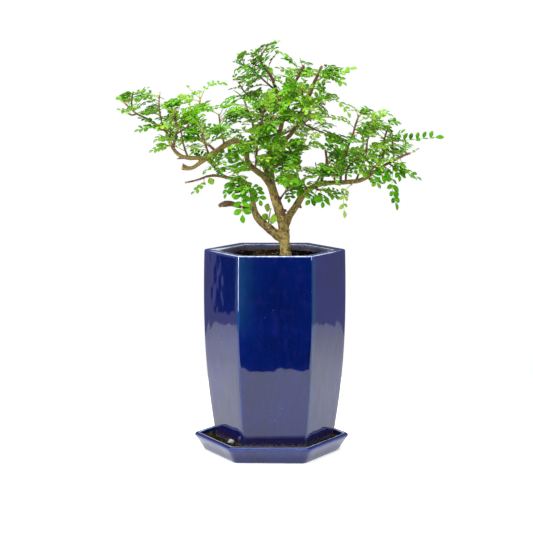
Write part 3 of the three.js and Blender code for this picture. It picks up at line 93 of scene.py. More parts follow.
# Each limb of the bark-covered wood is a name and its route
WOOD = [
    ("trunk", [
        (286.6, 268, 3, 6.6), (285.8, 255, 3, 5.9), (284.9, 244, 3, 5.3), (284.3, 235, 2, 5.6),
        (283.7, 227, 2, 5.5), (282, 219, 1, 5.5), (279.6, 211, 0, 5.2), (277, 203, -1, 4.8),
        (274, 194, -2, 4.4), (271, 185.5, -3, 4.1), (265.8, 177.5, -4, 3.6), (257.5, 171, -6, 3),
        (250.5, 165, -8, 2.8), (247, 159, -11, 2.7),
    ]),
    ("left_limb", [
        (284, 239, 3, 4.3), (277.5, 235, 1, 4.6), (270, 228.6, -2, 4.5), (263, 222.8, -5, 4.2),
        (257, 216, -8, 3.8), (254, 208.5, -10, 3.2), (252.6, 199, -12, 2.4), (250.2, 189, -15, 2),
        (245, 181, -18, 1.9), (236, 178.2, -22, 1.8), (226, 176.8, -26, 1.6), (215, 174.8, -30, 1.5),
        (205.5, 176, -34, 1.3),
    ]),
    ("left_stub", [
        (253.6, 208.5, -10, 1.6), (246, 207.4, -13, 1.5), (238, 205.6, -17, 1.8),
        (232, 203.2, -20, 2.9), (225, 203.3, -22, 3.3), (218.6, 205.4, -24, 1.8),
    ]),
    ("front_limb", [
        (247.2, 160, -10, 2.6), (246.4, 152, -16, 2.7), (242.5, 144.5, -24, 2.7),
        (236.5, 140.6, -31, 2.8), (229.6, 141.8, -37, 2.8), (222, 146.8, -42, 2.8),
        (213.5, 152.8, -46, 2.7), (205.5, 158, -50, 2.6), (198.5, 163.4, -52, 2.1),
        (192.5, 167, -53, 2), (187, 167.9, -54, 2), (181.6, 167.3, -55, 1.9),
    ]),
    ("front_limb_prong", [
        (189, 167.2, -53, 1.1), (182.4, 163.2, -54, 0.9),
    ]),
    ("left_bough", [
        (206.5, 157.4, -49, 2.3), (199, 157.2, -51, 2.2), (190, 157.3, -53, 2.2),
        (182.3, 155.8, -54, 2), (176.6, 152, -55, 1.9), (172.8, 146.5, -56, 1.8),
        (170.3, 139.5, -56, 1.6), (167.8, 133, -55, 1.4), (162.6, 127.4, -53, 1.4),
        (155, 123.1, -50, 1.3), (145.7, 117.5, -46, 1.2), (139, 114.4, -43.6, 1.1),
    ]),
    ("left_bough_spur", [
        (187, 157.8, -53, 0.8), (176.6, 158.3, -56, 0.7),
    ]),
    ("leader", [
        (270.5, 184, -3, 3.1), (267.2, 174, 0, 3), (266, 164.5, 3, 2.8), (268, 155, 6, 2.7),
        (272.3, 146, 8, 2.6), (277.2, 137, 10, 2.5), (280.6, 128, 12, 2.4), (281.8, 118, 12, 2.3),
        (281, 108.5, 12, 2.1), (279.6, 100, 11, 2), (277.4, 92.5, 10, 1.9), (274.6, 86, 9, 1.6),
    ]),
    ("right_spar", [
        (275.5, 141, 8, 2.4), (284, 139.5, 2, 2.3), (291.5, 132.8, -6, 2.2), (297, 123, -13, 2.1),
        (301, 113, -18, 2.1), (304.8, 103, -22, 2.2), (308.8, 94.5, -25, 2.6), (312.2, 86.4, -27, 2.2),
        (314.2, 81.8, -28, 1.4),
    ]),
    ("right_limb", [
        (284.6, 228, 2, 3.6), (287.4, 220.5, 0, 3.8), (290.2, 213.8, -3, 3.7), (294.2, 207.8, -6, 3.6),
        (298.6, 201.3, -9, 3.5), (302.6, 194.8, -12, 3.4), (308, 189.4, -15, 3), (316, 185, -18, 2.6),
        (326, 182.4, -20, 2.4), (337, 182, -22, 2.3), (348, 181.4, -24, 2.3), (358, 180.2, -26, 2.4),
        (366, 177, -28, 2.2), (373.6, 171.4, -29, 1.7), (382, 166, -30, 1.5), (392, 160.4, -31, 1.4),
    ]),
    ("right_knob", [
        (298.6, 203.6, -9, 1.9), (301.6, 207.6, -10, 1.3),
    ]),
    ("trunk_spur", [
        (278.5, 201, -1, 1.7), (282.4, 195.2, -3, 1.1),
    ]),
    ("trunk_knob", [
        (282.2, 212, 0, 1.9), (286.4, 209.3, -2, 1.4),
    ]),
    ("back_limb", [
        (279.5, 208, 2, 3), (276.2, 197, 13, 2.7), (273.8, 187, 25, 2.5), (272.4, 176, 37, 2.3),
        (272, 165, 48, 2.1), (273.6, 154, 57, 1.8), (276.6, 144.5, 64, 1.5),
    ]),
]

# Outline of the foliage on the board, and the places inside it that leaves keep off: light gaps, and a
# limb that shows
CROWN = [
    (117, 101), (116, 94), (124, 91), (140, 90), (147, 86), (155, 82), (157, 94), (166, 97), (190, 94),
    (203, 88), (213, 91), (207, 101), (231, 98), (227, 92), (229, 84), (237, 80), (231, 73), (235, 69),
    (236, 56), (250, 48), (262, 48), (268, 43), (281, 41), (283, 53), (300, 58), (304, 65), (322, 64),
    (333, 68), (345, 63), (359, 67), (342, 78), (348, 88), (333, 88), (341, 99), (325, 103), (332, 112),
    (322, 116), (350, 118), (342, 103), (352, 104), (360, 106), (369, 107), (379, 112), (401, 121),
    (415, 126), (435, 131), (445, 137), (412, 141), (419, 147), (412, 154), (415, 164), (410, 171),
    (424, 179), (418, 184), (404, 178), (402, 190), (408, 204), (399, 211), (390, 203), (390, 194),
    (377, 184), (366, 181), (363, 190), (352, 187), (348, 222), (340, 212), (338, 198), (334, 205),
    (322, 208), (310, 208), (300, 192), (293, 194), (291, 203), (282, 202), (279, 190), (271, 186),
    (264, 190), (264, 210), (254, 210), (253, 221), (243, 225), (233, 215), (226, 200), (219, 197),
    (225, 180), (210, 187), (206, 184), (189, 197), (198, 180), (184, 184), (183, 180), (196, 175),
    (205, 162), (190, 158), (175, 157), (163, 150), (148, 154), (150, 147), (157, 141), (158, 134),
    (139, 138), (132, 132), (150, 122), (130, 118), (117, 110), (125, 104),
]
CLEARINGS = [
    [
        (311, 149), (323, 148), (324, 160), (314, 161), (310, 167), (303, 163), (305, 156),
    ],
    [
        (324, 121), (350, 124), (350, 131), (338, 133), (337, 125),
    ],
    [
        (204, 112), (215, 107), (223, 113), (222, 121), (212, 123),
    ],
    [
        (244, 157), (251, 158), (259, 169), (268, 176), (275, 184), (279, 192), (276, 202), (271, 199),
        (267, 190), (261, 183), (251, 173), (246, 165),
    ],
]

# A shoot: its name, how many leaves follow the rule, its stems as (thick, thin, route), and its placed
# leaves as (pairs, size, (base, middle, tip))
SHOOTS = [
    ("left_tip", 5, [
        (1, 0.7, [(140.4, 115.1, -44), (136, 112.4, -42.6), (131.8, 108.6, -41), (123.4, 101, -37)]),
        (0.9, 0.7, [(137.6, 113.4, -43), (132.5, 114.8, -47), (127.5, 112.3, -50)]),
        (0.9, 0.6, [(132.8, 109.4, -41), (132.6, 99.5, -43), (134.3, 91.8, -44)]),
    ], [
        (1, 0.75, ((128, 112.5, -50), (123, 110.2, -52), (116.6, 109, -53))),
        (2, 0.6, ((124, 101.4, -37), (121, 97.6, -35), (116.5, 98.3, -34))),
        (3, 0.9, ((133, 109.5, -41), (140, 106, -50), (146, 104, -58))),
        (4, 0.85, ((133.4, 97.5, -43), (148, 94.8, -38), (168, 100, -32))),
        (3, 0.8, ((133.8, 94.5, -43), (141, 92.5, -46), (152.3, 85.6, -50))),
        (3, 0.95, ((133, 99, -43), (140.5, 98, -54), (146.5, 99.5, -62))),
    ]),
    ("left_spire", 5, [
        (1, 0.5, [(162.9, 127, -53), (161.8, 119, -52), (160.2, 110, -51), (159.8, 101, -50),
        (160.8, 92.4, -49)]),
    ], [
        (2, 0.7, ((160, 106, -50), (154, 103, -56), (151.8, 96.5, -60))),
        (3, 0.9, ((161.2, 114.8, -52), (151, 112, -60), (138, 112.8, -66))),
    ]),
    ("left_post", 6, [
        (1.2, 0.9, [(173.8, 146.5, -56), (175.6, 137, -57), (177.3, 130, -58), (176.3, 121, -58),
        (175.2, 115.4, -58), (176.4, 110.8, -58)]),
        (0.9, 0.7, [(176.9, 133.4, -57), (182, 130.3, -61), (187, 127, -63), (189.6, 122.2, -64)]),
    ], [
        (3, 0.95, ((176.2, 126, -58), (166.5, 124.6, -66), (154, 129.6, -72))),
        (1, 0.6, ((189, 123, -64), (190.4, 112, -66), (189.7, 102.6, -67))),
    ]),
    ("left_sprig", 5, [
        (0.9, 0.5, [(170.6, 141, -56), (170.8, 129, -49), (172.2, 116, -45), (173.2, 99.2, -43)]),
    ], []),
    ("left_under", 1, [
        (0.9, 0.8, [(164.4, 129.6, -54), (161.6, 129.2, -60)]),
    ], [
        (4, 0.9, ((162.4, 129.3, -58), (150, 127, -58), (133.5, 132, -59))),
    ]),
    ("left_low", 1, [
        (0.9, 0.8, [(173.3, 147.4, -56), (170.4, 144.6, -62)]),
    ], [
        (3, 1, ((171, 145.4, -61), (163, 136.5, -66), (153.5, 144, -70))),
        (4, 0.85, ((171.8, 146, -60), (162, 146.5, -62), (147.2, 152.9, -64))),
    ]),
    ("left_gate", 5, [
        (1.4, 0.8, [(216, 150.8, -44), (209, 144.6, -41), (202.4, 140.6, -37), (197.4, 133, -34),
        (195.2, 122, -33), (195.6, 114.8, -33), (198.8, 108.5, -33), (200.9, 98, -33)]),
    ], [
        (4, 0.7, ((200.6, 98.8, -33), (211.5, 84, -28), (229, 86, -22))),
        (5, 0.8, ((200, 101.5, -33), (187, 98.4, -37), (172.5, 101, -41))),
        (1, 0.6, ((200.8, 98.4, -33), (194, 92.4, -36), (187, 85, -38))),
        (5, 0.85, ((198.6, 109.6, -33), (216, 107.6, -36), (238, 102.8, -40))),
    ]),
    ("left_back", 6, [
        (1, 0.7, [(188, 156.4, -51), (184.6, 147, -38), (182.4, 137, -26), (180.8, 127, -18)]),
    ], []),
    ("left_front", 7, [
        (1.1, 0.7, [(209.5, 155, -49), (206.4, 146, -57), (203.8, 137.5, -63), (202.2, 129, -66)]),
    ], []),
    ("left_inner", 7, [
        (1.1, 0.7, [(224.5, 144.4, -40), (222.6, 135, -37), (220.4, 125, -35), (219.2, 114.5, -34)]),
    ], []),
    ("low_twig", 5, [
        (1, 0.7, [(226.5, 176, -27), (220.6, 172.6, -31), (214.6, 167, -36), (209, 161.4, -42)]),
    ], []),
    ("low_tip", 2, [
        (1.1, 0.8, [(206.5, 175.8, -34), (199.4, 178.6, -37), (192.5, 180.5, -39),
        (185.8, 181.9, -41)]),
    ], [
        (3, 0.75, ((204, 177.4, -35), (201.5, 185.6, -38), (188.2, 194.6, -41))),
        (0, 1, ((208.4, 176.2, -34), (210, 180, -36), (209.2, 185.2, -37))),
    ]),
    ("left_curtain", 2, [
        (1.1, 0.8, [(238.6, 178.8, -22), (238.6, 176, -30), (239.6, 177.6, -38)]),
    ], [
        (4, 1.35, ((239.4, 177.6, -37), (241.4, 198, -43), (243, 224.6, -46))),
        (4, 1, ((238.8, 176.6, -32), (230.5, 184, -38), (224.2, 199.5, -42))),
        (3, 1.25, ((239.4, 177.4, -36), (247.5, 190, -38), (250, 214, -40))),
    ]),
    ("left_screen", 3, [
        (1.1, 0.8, [(250.8, 191, -14), (247.6, 186.6, -22), (248.4, 183, -30)]),
    ], [
        (4, 1.05, ((248.2, 184, -28), (256.6, 191, -31), (261.6, 209, -33))),
        (3, 1, ((248, 185, -26), (241, 181.4, -33), (231.5, 186, -38))),
    ]),
    ("crotch_sprout", 0, [
        (0.8, 0.6, [(268.8, 227.6, -3), (268.9, 218, -5), (270.9, 208.2, -6)]),
    ], [
        (0, 1, ((268.8, 219.6, -5), (265.6, 217, -8), (261.4, 213.8, -10))),
        (0, 1.05, ((268.8, 218.8, -5), (272.6, 219.2, -9), (277.8, 222.6, -13))),
        (0, 0.95, ((270.6, 209.2, -6), (267.8, 207.4, -8), (262.6, 205, -10))),
    ]),
    ("trunk_sprout", 3, [
        (0.9, 0.6, [(281.4, 196.6, -3), (284.4, 192.4, -6), (287.4, 189.2, -8)]),
    ], [
        (2, 0.85, ((286.9, 189.8, -8), (289.6, 195, -14), (287.8, 202.6, -18))),
    ]),
    ("dome_left", 7, [
        (1.3, 0.9, [(247.3, 157.6, -12), (248, 149, -14), (251.2, 138.4, -16), (253.4, 128, -17),
        (250.4, 116.6, -17), (246.8, 107.5, -17), (244.9, 100.8, -17)]),
    ], []),
    ("dome_front", 8, [
        (1.3, 0.9, [(243.8, 146.8, -21), (250.4, 141.4, -25), (256, 135, -28), (261.4, 122.6, -31),
        (263.2, 112.6, -32), (265.9, 103, -32), (271.6, 94.8, -33)]),
        (0.9, 0.6, [(259.4, 127.2, -30), (268.8, 121.4, -36), (276.6, 116, -40)]),
    ], []),
    ("dome_edge", 6, [
        (1, 0.6, [(280.6, 104.8, 12), (268.5, 104.6, 11), (257.6, 101.4, 9), (248.4, 95.4, 8),
        (242.4, 88.8, 7), (239, 82.6, 6)]),
    ], [
        (2, 0.85, ((243.6, 90.4, 7), (236.4, 87.6, 1), (227.6, 90.6, -4))),
        (2, 0.65, ((239.2, 83.4, 6), (235.4, 77.5, 4), (235.6, 69.6, 2))),
        (2, 0.7, ((242, 88.6, 7), (246, 80.4, 2), (249.5, 72.4, -2))),
    ]),
    ("apex_left", 6, [
        (1.1, 0.6, [(276.8, 91, 9.6), (269, 85, 5), (257.6, 74.8, 3), (250, 67.4, 0),
        (243.6, 65.2, -2)]),
    ], [
        (2, 0.6, ((244.4, 65.2, -2), (242.8, 58.6, -5), (236.2, 54.2, -7))),
        (3, 0.75, ((246, 65.8, -1), (239.5, 63.4, -6), (232.8, 62.4, -9))),
    ]),
    ("apex", 6, [
        (1.6, 0.7, [(274.9, 86.8, 9), (271.8, 78, 8), (266.6, 70.6, 7), (261.8, 64.6, 6),
        (260.7, 58, 5), (263.2, 52.6, 4), (267.4, 47.2, 3)]),
        (0.9, 0.7, [(262.4, 65.6, 6), (257.6, 66, 1), (251.8, 63, -4)]),
    ], [
        (2, 0.65, ((267.2, 47.6, 3), (273, 44.2, 1), (281.2, 41.4, 0))),
        (1, 0.85, ((262.8, 53.4, 4), (268, 51.6, 0), (275.6, 47.4, -3))),
        (2, 0.65, ((260.8, 58.4, 5), (256.4, 53.6, 2), (250.2, 50.6, 0))),
    ]),
    ("crown_right", 6, [
        (1.6, 1.4, [(280.6, 106.5, 12), (285.6, 97, 8), (290.6, 88.8, 5), (296.4, 79.6, 1),
        (303.2, 66, -4)]),
    ], [
        (3, 1.05, ((297.4, 77.6, 0), (287, 71.6, -5), (273.6, 67.6, -9))),
        (3, 1.05, ((301.6, 68.4, -3), (291.4, 62.4, -8), (277.6, 50.6, -12))),
        (1, 0.5, ((302.8, 67, -4), (300.6, 62.4, -5), (299.8, 58.6, -6))),
    ]),
    ("right_spire", 5, [
        (1.6, 1.3, [(313.8, 82.6, -28), (317.2, 75.4, -29), (321.3, 66.2, -31)]),
        (0.8, 0.6, [(314.6, 82.4, -28), (318.6, 79.6, -31), (322.6, 77.2, -34)]),
    ], [
        (5, 0.95, ((318.4, 73, -30), (335, 72.5, -33), (358.6, 67.2, -36))),
        (4, 0.95, ((322, 77.6, -33), (334, 77.5, -38), (347.2, 87, -42))),
        (3, 0.9, ((316.6, 77, -29), (309.6, 73.4, -32), (302.5, 74.6, -34))),
    ]),
    ("right_shelf", 6, [
        (1.1, 0.8, [(305.8, 100.6, -24), (312, 99.4, -26), (320, 98, -28), (328.8, 98.8, -30)]),
        (0.9, 0.7, [(306.6, 101.4, -24), (316, 102.8, -20), (324.4, 104.2, -17)]),
    ], [
        (3, 0.8, ((328, 98.7, -30), (340.6, 103, -33), (350.4, 119.8, -36))),
    ]),
    ("right_drift", 6, [
        (0.9, 0.6, [(299.8, 117.2, -16), (306, 124.6, -15), (314.6, 129, -14), (325, 133, -13),
        (335.9, 139, -12), (341.4, 144, -11)]),
    ], []),
    ("face_high", 6, [
        (1, 0.7, [(303.8, 105.6, -22), (302.4, 97, -30), (301.6, 88, -36)]),
    ], []),
    ("face_right", 7, [
        (1, 0.7, [(297.6, 121.6, -14), (302, 118.6, -27), (307.2, 114.2, -38), (311.6, 109.4, -46)]),
    ], []),
    ("face_mid", 7, [
        (1, 0.7, [(281.6, 120, 11), (284.6, 115, -2), (287.6, 109, -13), (290, 103, -22)]),
    ], []),
    ("face_low", 7, [
        (1.1, 0.7, [(255, 168.6, -7), (256, 160, -20), (256.4, 152, -31), (255.8, 145.6, -39)]),
    ], [
        (4, 1.05, ((255.8, 161.6, -17), (246.6, 162.6, -27), (233, 171.4, -35))),
    ]),
    ("heart", 8, [
        (1.1, 0.7, [(266.8, 171.5, 0), (271.6, 163, -13), (277.2, 155, -25), (281.6, 148, -34)]),
    ], []),
    ("heart_right", 7, [
        (1, 0.7, [(286, 138, 0), (289.6, 149, -12), (294.6, 160, -22), (301, 170, -29)]),
    ], [
        (3, 1, ((300.2, 168.6, -28), (292, 175, -32), (283.6, 186.6, -35))),
    ]),
    ("heart_high", 6, [
        (1, 0.7, [(279.4, 133, 11), (275, 127.4, 0), (272.2, 121.6, -10), (269.6, 113.4, -19)]),
    ], []),
    ("top_back", 6, [
        (1, 0.7, [(279.7, 101, 11), (284.6, 94.6, 24), (288.6, 87, 36), (291, 80, 44)]),
    ], []),
    ("wing_back_left", 7, [
        (1.1, 0.7, [(271.6, 147.6, 8), (262, 136, 32), (254.4, 125.6, 50), (250.2, 116, 62)]),
    ], []),
    ("wing_back_right", 7, [
        (1.1, 0.7, [(277.6, 136.4, 10), (294, 128.4, 32), (306.6, 120.6, 48), (315.6, 112.6, 60)]),
    ], []),
    ("back_left", 7, [
        (1.1, 0.7, [(273, 181, 31), (261, 173, 46), (249, 165.4, 58), (238.6, 157, 68)]),
    ], []),
    ("back_right", 7, [
        (1.1, 0.7, [(272, 167, 46), (286, 159, 55), (299.4, 151, 62), (310.6, 143, 68)]),
    ], []),
    ("back_top", 7, [
        (1.1, 0.7, [(276.4, 146, 63), (279.4, 134, 70), (280.6, 122.6, 74), (280.2, 111.6, 77)]),
    ], []),
    ("back_low", 6, [
        (1, 0.7, [(273.4, 170, 43), (276.4, 163.4, 62), (279.4, 157.8, 80)]),
    ], []),
    ("right_stump", 3, [
        (1.4, 1.2, [(320.4, 184.2, -19), (322.6, 176, -20), (326, 167.6, -20), (326.4, 158, -20),
        (325.2, 149.8, -20)]),
    ], [
        (2, 0.7, ((322.4, 177, -20), (316.8, 171.4, -25), (315.6, 160.6, -29))),
    ]),
    ("right_gate", 6, [
        (1, 0.7, [(306.4, 190.8, -14), (304.4, 184, -21), (299, 178.8, -26), (292, 175.4, -30)]),
    ], [
        (3, 1, ((293, 175.8, -29), (286.6, 178, -34), (280.6, 185.4, -38))),
        (3, 0.95, ((304.8, 185.2, -20), (299.4, 189.6, -26), (291.2, 192.8, -31))),
    ]),
    ("right_mast", 8, [
        (1.2, 0.9, [(340.6, 182.6, -22), (341, 171, -23), (344.2, 157.5, -24), (348.6, 144, -25),
        (352.6, 133.4, -26), (355, 124.6, -26), (358, 115.6, -27)]),
    ], [
        (3, 0.7, ((357.4, 117.4, -27), (353.8, 108, -29), (342.8, 104.2, -31))),
        (5, 0.85, ((354.2, 128, -26), (343, 119.6, -30), (324, 117, -34))),
    ]),
    ("right_fork", 8, [
        (1.2, 0.5, [(345.4, 181.8, -24), (347.2, 168, -28), (355.6, 159.4, -32), (365.4, 151.4, -35),
        (366.8, 142, -36), (368.8, 133, -36), (375.3, 112, -37)]),
    ], [
        (3, 0.75, ((372.6, 119.6, -36), (368, 110, -39), (360.6, 108.6, -41))),
        (4, 0.8, ((370.4, 127.4, -36), (380.6, 113, -33), (392.4, 117.4, -30))),
    ]),
    ("right_tower", 6, [
        (1.2, 0.8, [(375.8, 169.6, -29), (380, 161.6, -29), (383.4, 153, -29), (383.2, 142.4, -29),
        (385.4, 133.4, -29), (388.2, 125.4, -29)]),
    ], [
        (6, 1, ((383.4, 141.6, -29), (411.4, 139.2, -34), (444.6, 136.2, -38))),
        (2, 0.8, ((387, 129, -29), (391.6, 121.6, -26), (401.8, 124.8, -24))),
        (4, 0.85, ((383.2, 143.4, -29), (393.4, 137.6, -42), (404.4, 129, -48))),
    ]),
    ("right_end", 4, [
        (1.5, 1.1, [(390.4, 161.2, -31), (402, 155.4, -32), (409.6, 152.6, -33)]),
        (0.8, 0.6, [(392.4, 160.4, -31), (393.4, 152, -30), (391.8, 142, -29), (392, 134.6, -29)]),
    ], [
        (1, 0.75, ((409.2, 152.7, -33), (414.4, 150.4, -33), (418.6, 147.4, -34))),
        (1, 0.6, ((405.6, 153.8, -32), (403.6, 146, -34), (402, 140.4, -36))),
        (3, 0.9, ((399.6, 156.8, -32), (406.8, 170, -38), (423.4, 179.6, -42))),
        (4, 1.1, ((396.4, 158.2, -31), (398.4, 168, -38), (399.6, 182.6, -41))),
    ]),
    ("right_tassel", 1, [
        (0.9, 0.8, [(388, 162.6, -31), (391.8, 165, -36), (393.6, 167.4, -40)]),
    ], [
        (4, 1.25, ((393.2, 166.8, -39), (392.2, 188, -46), (398.8, 210.4, -47))),
        (3, 1.25, ((391.4, 164.8, -35), (384.4, 171, -44), (374.6, 180.4, -50))),
    ]),
    ("right_pendant", 0, [
        (0.8, 0.7, [(350.2, 182.2, -24), (351.6, 183.8, -28)]),
    ], [
        (3, 0.9, ((351.4, 183.8, -28), (343.8, 196, -30), (346.4, 221.6, -31))),
    ]),
    ("right_skirt", 2, [
        (1, 0.8, [(316.6, 186, -18), (316.2, 188.6, -24), (320.6, 189.8, -29)]),
    ], [
        (3, 1.2, ((317.2, 189.2, -26), (312, 196.4, -32), (305.6, 204, -36))),
        (4, 1.2, ((319.2, 189.6, -28), (329, 190.6, -34), (339.6, 198, -38))),
        (3, 1.2, ((320, 189.8, -29), (322.8, 197.6, -36), (321.4, 207, -40))),
    ]),
    ("right_inner", 7, [
        (1, 0.7, [(334.8, 182.4, -22), (334.4, 174, -30), (335.6, 165, -36)]),
    ], []),
    ("right_apron", 4, [
        (1, 0.7, [(366.6, 176.8, -28), (371, 170.4, -37), (376.4, 164, -44)]),
    ], [
        (3, 1.15, ((368.4, 174.4, -32), (374.6, 179.6, -40), (380.4, 188.4, -44))),
    ]),
    ("right_back", 7, [
        (1.1, 0.7, [(355.6, 180.6, -26), (360, 170, -6), (364, 159, 12), (367.4, 149.6, 24)]),
    ], []),
    ("right_rear", 7, [
        (1.1, 0.7, [(314, 186, -17), (320, 176, 6), (326.4, 166, 24), (332.4, 156.8, 38)]),
    ], []),
]


# Growth: the same rule as in the solid model, so that each leaf is found in the same place

# Reach of a leaflet to the side of its rib
REACH = 6.2
# A leaf by the rule: its stand on the shoot, its turn and opening, and its length, arch and droop
GROWTH = Plan(first=0.15, golden_angle=2.4, opening=(0.9, 1.3), end_opening=0.45, flatten=0.45, rise=0.12,
              length=(23, 33), arch=0.05, droop=(0.06, 0.2), size=(0.75, 1.05), pairs=4)
# A stem steeper than this takes its sideways direction from the X axis
STEEP = 0.95
# The way that a leaf's face looks: outwards from the crown's middle, to the front and up, a little
# loose, and more level where the solid model lacks the leaf
FACING = Plan(x=4.2, y=1.0, outwards=0.45, front=0.35, up=0.8, loose=0.3, level=0.45)
# One in so many leaves of the rule is in the solid model
LEAF_STRIDE = 4
LEAF_TRIES = 24
# How far a placed leaf's tip is bent back to clear its neighbours, in the order of the tries
BENDS = (0, 4, -4, 8, -8, 12, -12)
SEEDS = Plan(shoot=100, grown=50, attempt=7001, grains=41, crumbs=17, dress=9000)
# The cells of space that pieces take, and the steps along stems and ribs
CELL = 1.8
TUBE_STEP = 1.5
RIB_STEPS = 16
FIRST_RIB_STEP = 5
# Places on a leaf that have to lie in the crown, as a share of the rib and a side
BLADE_MARKS = ((1, 0), (0.85, 1), (0.85, -1), (0.5, 1), (0.5, -1))
# The numbers of a plain congruential generator
SPREAD, FACTOR, SHIFT, RANGE = 2654435761, 1664525, 1013904223, 2 ** 32
UP = Vector((0, 0, 1))
AROUND = [(i, j, k) for i in (-1, 0, 1) for j in (-1, 0, 1) for k in (-1, 0, 1)]


class Draws:
    """Repeatable draws between 0 and 1."""

    def __init__(self, seed):
        self.state = (seed + 1) * SPREAD % RANGE

    def __call__(self, low=0.0, high=1.0):
        self.state = (self.state * FACTOR + SHIFT) % RANGE
        return low + (high - low) * self.state / RANGE


def spot(point):
    """The place in millimetres of a point on the layout board."""
    across, down, back = point[:3]
    drawn = Vector((across - BOARD_MIDDLE, 0, BOARD_FOOT - down))
    return EYE + (drawn - EYE) * (1 - back / EYE.y)


def on_board(point):
    """Where a point is seen on the layout board."""
    sight = point - EYE
    seen = EYE + sight * (-EYE.y / sight.y)
    return seen.x + BOARD_MIDDLE, BOARD_FOOT - seen.z


def is_inside(seen, outline):
    """Whether a place on the board lies inside an outline."""
    across, down = seen
    inside = False
    for (from_x, from_y), (x, y) in zip((outline[-1], *outline), outline):
        if (y > down) != (from_y > down) and across < from_x + (down - from_y) * (x - from_x) / (y - from_y):
            inside = not inside
    return inside


class Leaf:
    """A compound leaf: a rib through three points, the way its face looks, and its leaflets."""

    def __init__(self, rib, pairs, size, facing):
        base, middle, tip = rib
        self.points = (base, 2 * middle - (base + tip) / 2, tip)
        self.pairs = pairs
        self.size = size
        self.facing = facing
        self.length = (middle - base).length + (tip - middle).length

    def at(self, share):
        """The rib's point at a share of it, and the ways along, to the side and over."""
        base, pull, tip = self.points
        left = 1 - share
        point = base * left * left + pull * 2 * left * share + tip * share * share
        way = ((pull - base) * left + (tip - pull) * share).normalized()
        side = way.cross(self.facing).normalized()
        return point, way, side, side.cross(way)

    def cells(self):
        """Places on the blade that other pieces are kept clear of."""
        cells = []
        for step in range(FIRST_RIB_STEP, RIB_STEPS + 1):
            point, _way, side, _over = self.at(step / RIB_STEPS)
            reach = 0 if step == RIB_STEPS else REACH * self.size
            cells += [point + side * (share * reach) for share in (-1, -0.5, 0, 0.5, 1)]
        return cells

    def is_in_box(self):
        """Whether the leaf reaches no farther forward or back than the solid model."""
        (_x, front, _z), (_right, back, _top) = CAD_BOX
        return all(front < point.y * MM < back for point in self.cells())

    def is_in_crown(self):
        """Whether the leaf stays inside the crown's outline and off its clearings."""
        for share, flank in BLADE_MARKS:
            point, _way, side, _over = self.at(share)
            seen = on_board(point + side * (flank * REACH * self.size))
            if not is_inside(seen, CROWN) or any(is_inside(seen, clearing) for clearing in CLEARINGS):
                return False
        return True


def facing_at(point, draw, level=0.0):
    """The way a leaf's face looks: up, a little outwards and to the front, and up more by a level."""
    outwards = Vector((point.x - FACING.x, point.y - FACING.y, 0)).normalized()
    facing = outwards * FACING.outwards + Vector((0, -FACING.front, FACING.up))
    loose = [draw(-FACING.loose, FACING.loose) for _axis in range(3)]
    return (facing + Vector(loose) + UP * level).normalized()


def station_on(stems, share):
    """The point and direction at a share of the whole length of a shoot's stems."""
    parts = []
    for _thick, _thin, route in stems:
        points = [spot(point) for point in route]
        parts += list(zip(points, points[1:]))
    left = share * sum((end - start).length for start, end in parts)
    for start, end in parts[:-1]:
        if left <= (end - start).length:
            break
        left -= (end - start).length
    else:
        start, end = parts[-1]
    way = (end - start).normalized()
    return start + way * left, way


def grown_leaf(stems, count, number, draw, level):
    """One leaf by the rule: round the stem by the golden angle, spread flat and drooping at the tip."""
    point, way = station_on(stems, GROWTH.first + (1 - GROWTH.first) * (number + 0.5) / count)
    across = way.cross(Vector((1, 0, 0)) if abs(way.z) > STEEP else UP).normalized()
    steep = across.cross(way)
    turn = number * GROWTH.golden_angle + draw(0, 2 * math.pi)
    opening = GROWTH.end_opening if number == count - 1 else draw(*GROWTH.opening)
    heading = way * math.cos(opening)
    heading += (across * math.cos(turn) + steep * math.sin(turn)) * math.sin(opening)
    heading.z = heading.z * GROWTH.flatten + GROWTH.rise
    heading.normalize()
    length = draw(*GROWTH.length)
    droop = draw(*GROWTH.droop)
    size = draw(*GROWTH.size)
    middle = point + heading * (length / 2) + UP * (length * GROWTH.arch)
    tip = point + heading * length - UP * (length * droop)
    return Leaf((point, middle, tip), GROWTH.pairs, size, facing_at(point, draw, level))


def placed_leaf(pairs, size, rib, bend, draw):
    """One leaf whose rib is listed, its tip bent back or forward to clear its neighbours."""
    base, middle, tip = (spot(point) for point in rib)
    middle.y += bend / 2
    tip.y += bend
    return Leaf((base, middle, tip), pairs, size, facing_at(middle, draw))


class Room:
    """Which piece has taken each small cell of space."""

    def __init__(self):
        self.taken = {}

    @staticmethod
    def cell(point, shift):
        return tuple(math.floor(value / CELL + step) for value, step in zip(point, shift))

    def is_free(self, points, own_stem):
        near = {self.cell(point, shift) for point in points for shift in AROUND}
        return all(self.taken.get(cell, own_stem) == own_stem for cell in near)

    def take(self, points, owner):
        for point in points:
            self.taken[self.cell(point, (0, 0, 0))] = owner

    def take_tube(self, points, radii, owner):
        stations = list(zip(points, radii))
        for (start, thick), (end, thin) in zip(stations, stations[1:]):
            steps = math.ceil((end - start).length / TUBE_STEP)
            for step in range(steps + 1):
                middle = start.lerp(end, step / steps)
                radius = thick + (thin - thick) * step / steps
                self.take([middle], owner)
                for axis in range(3):
                    for sign in (1, -1):
                        shift = Vector((0, 0, 0))
                        shift[axis] = sign * radius
                        self.take([middle + shift], owner)

    def settle(self, name, tries):
        """The first of a leaf's tries that is clear of every other piece, or None."""
        for leaf in tries:
            cells = leaf.cells()
            if self.is_free(cells, name):
                self.take(cells, "leaf")
                return leaf
        return None


def stem_radii(thick, thin, route):
    """A radius for each point of a stem's route, from its thick end to its thin one."""
    last = len(route) - 1
    return [thick + (thin - thick) * i / last for i in range(last + 1)]


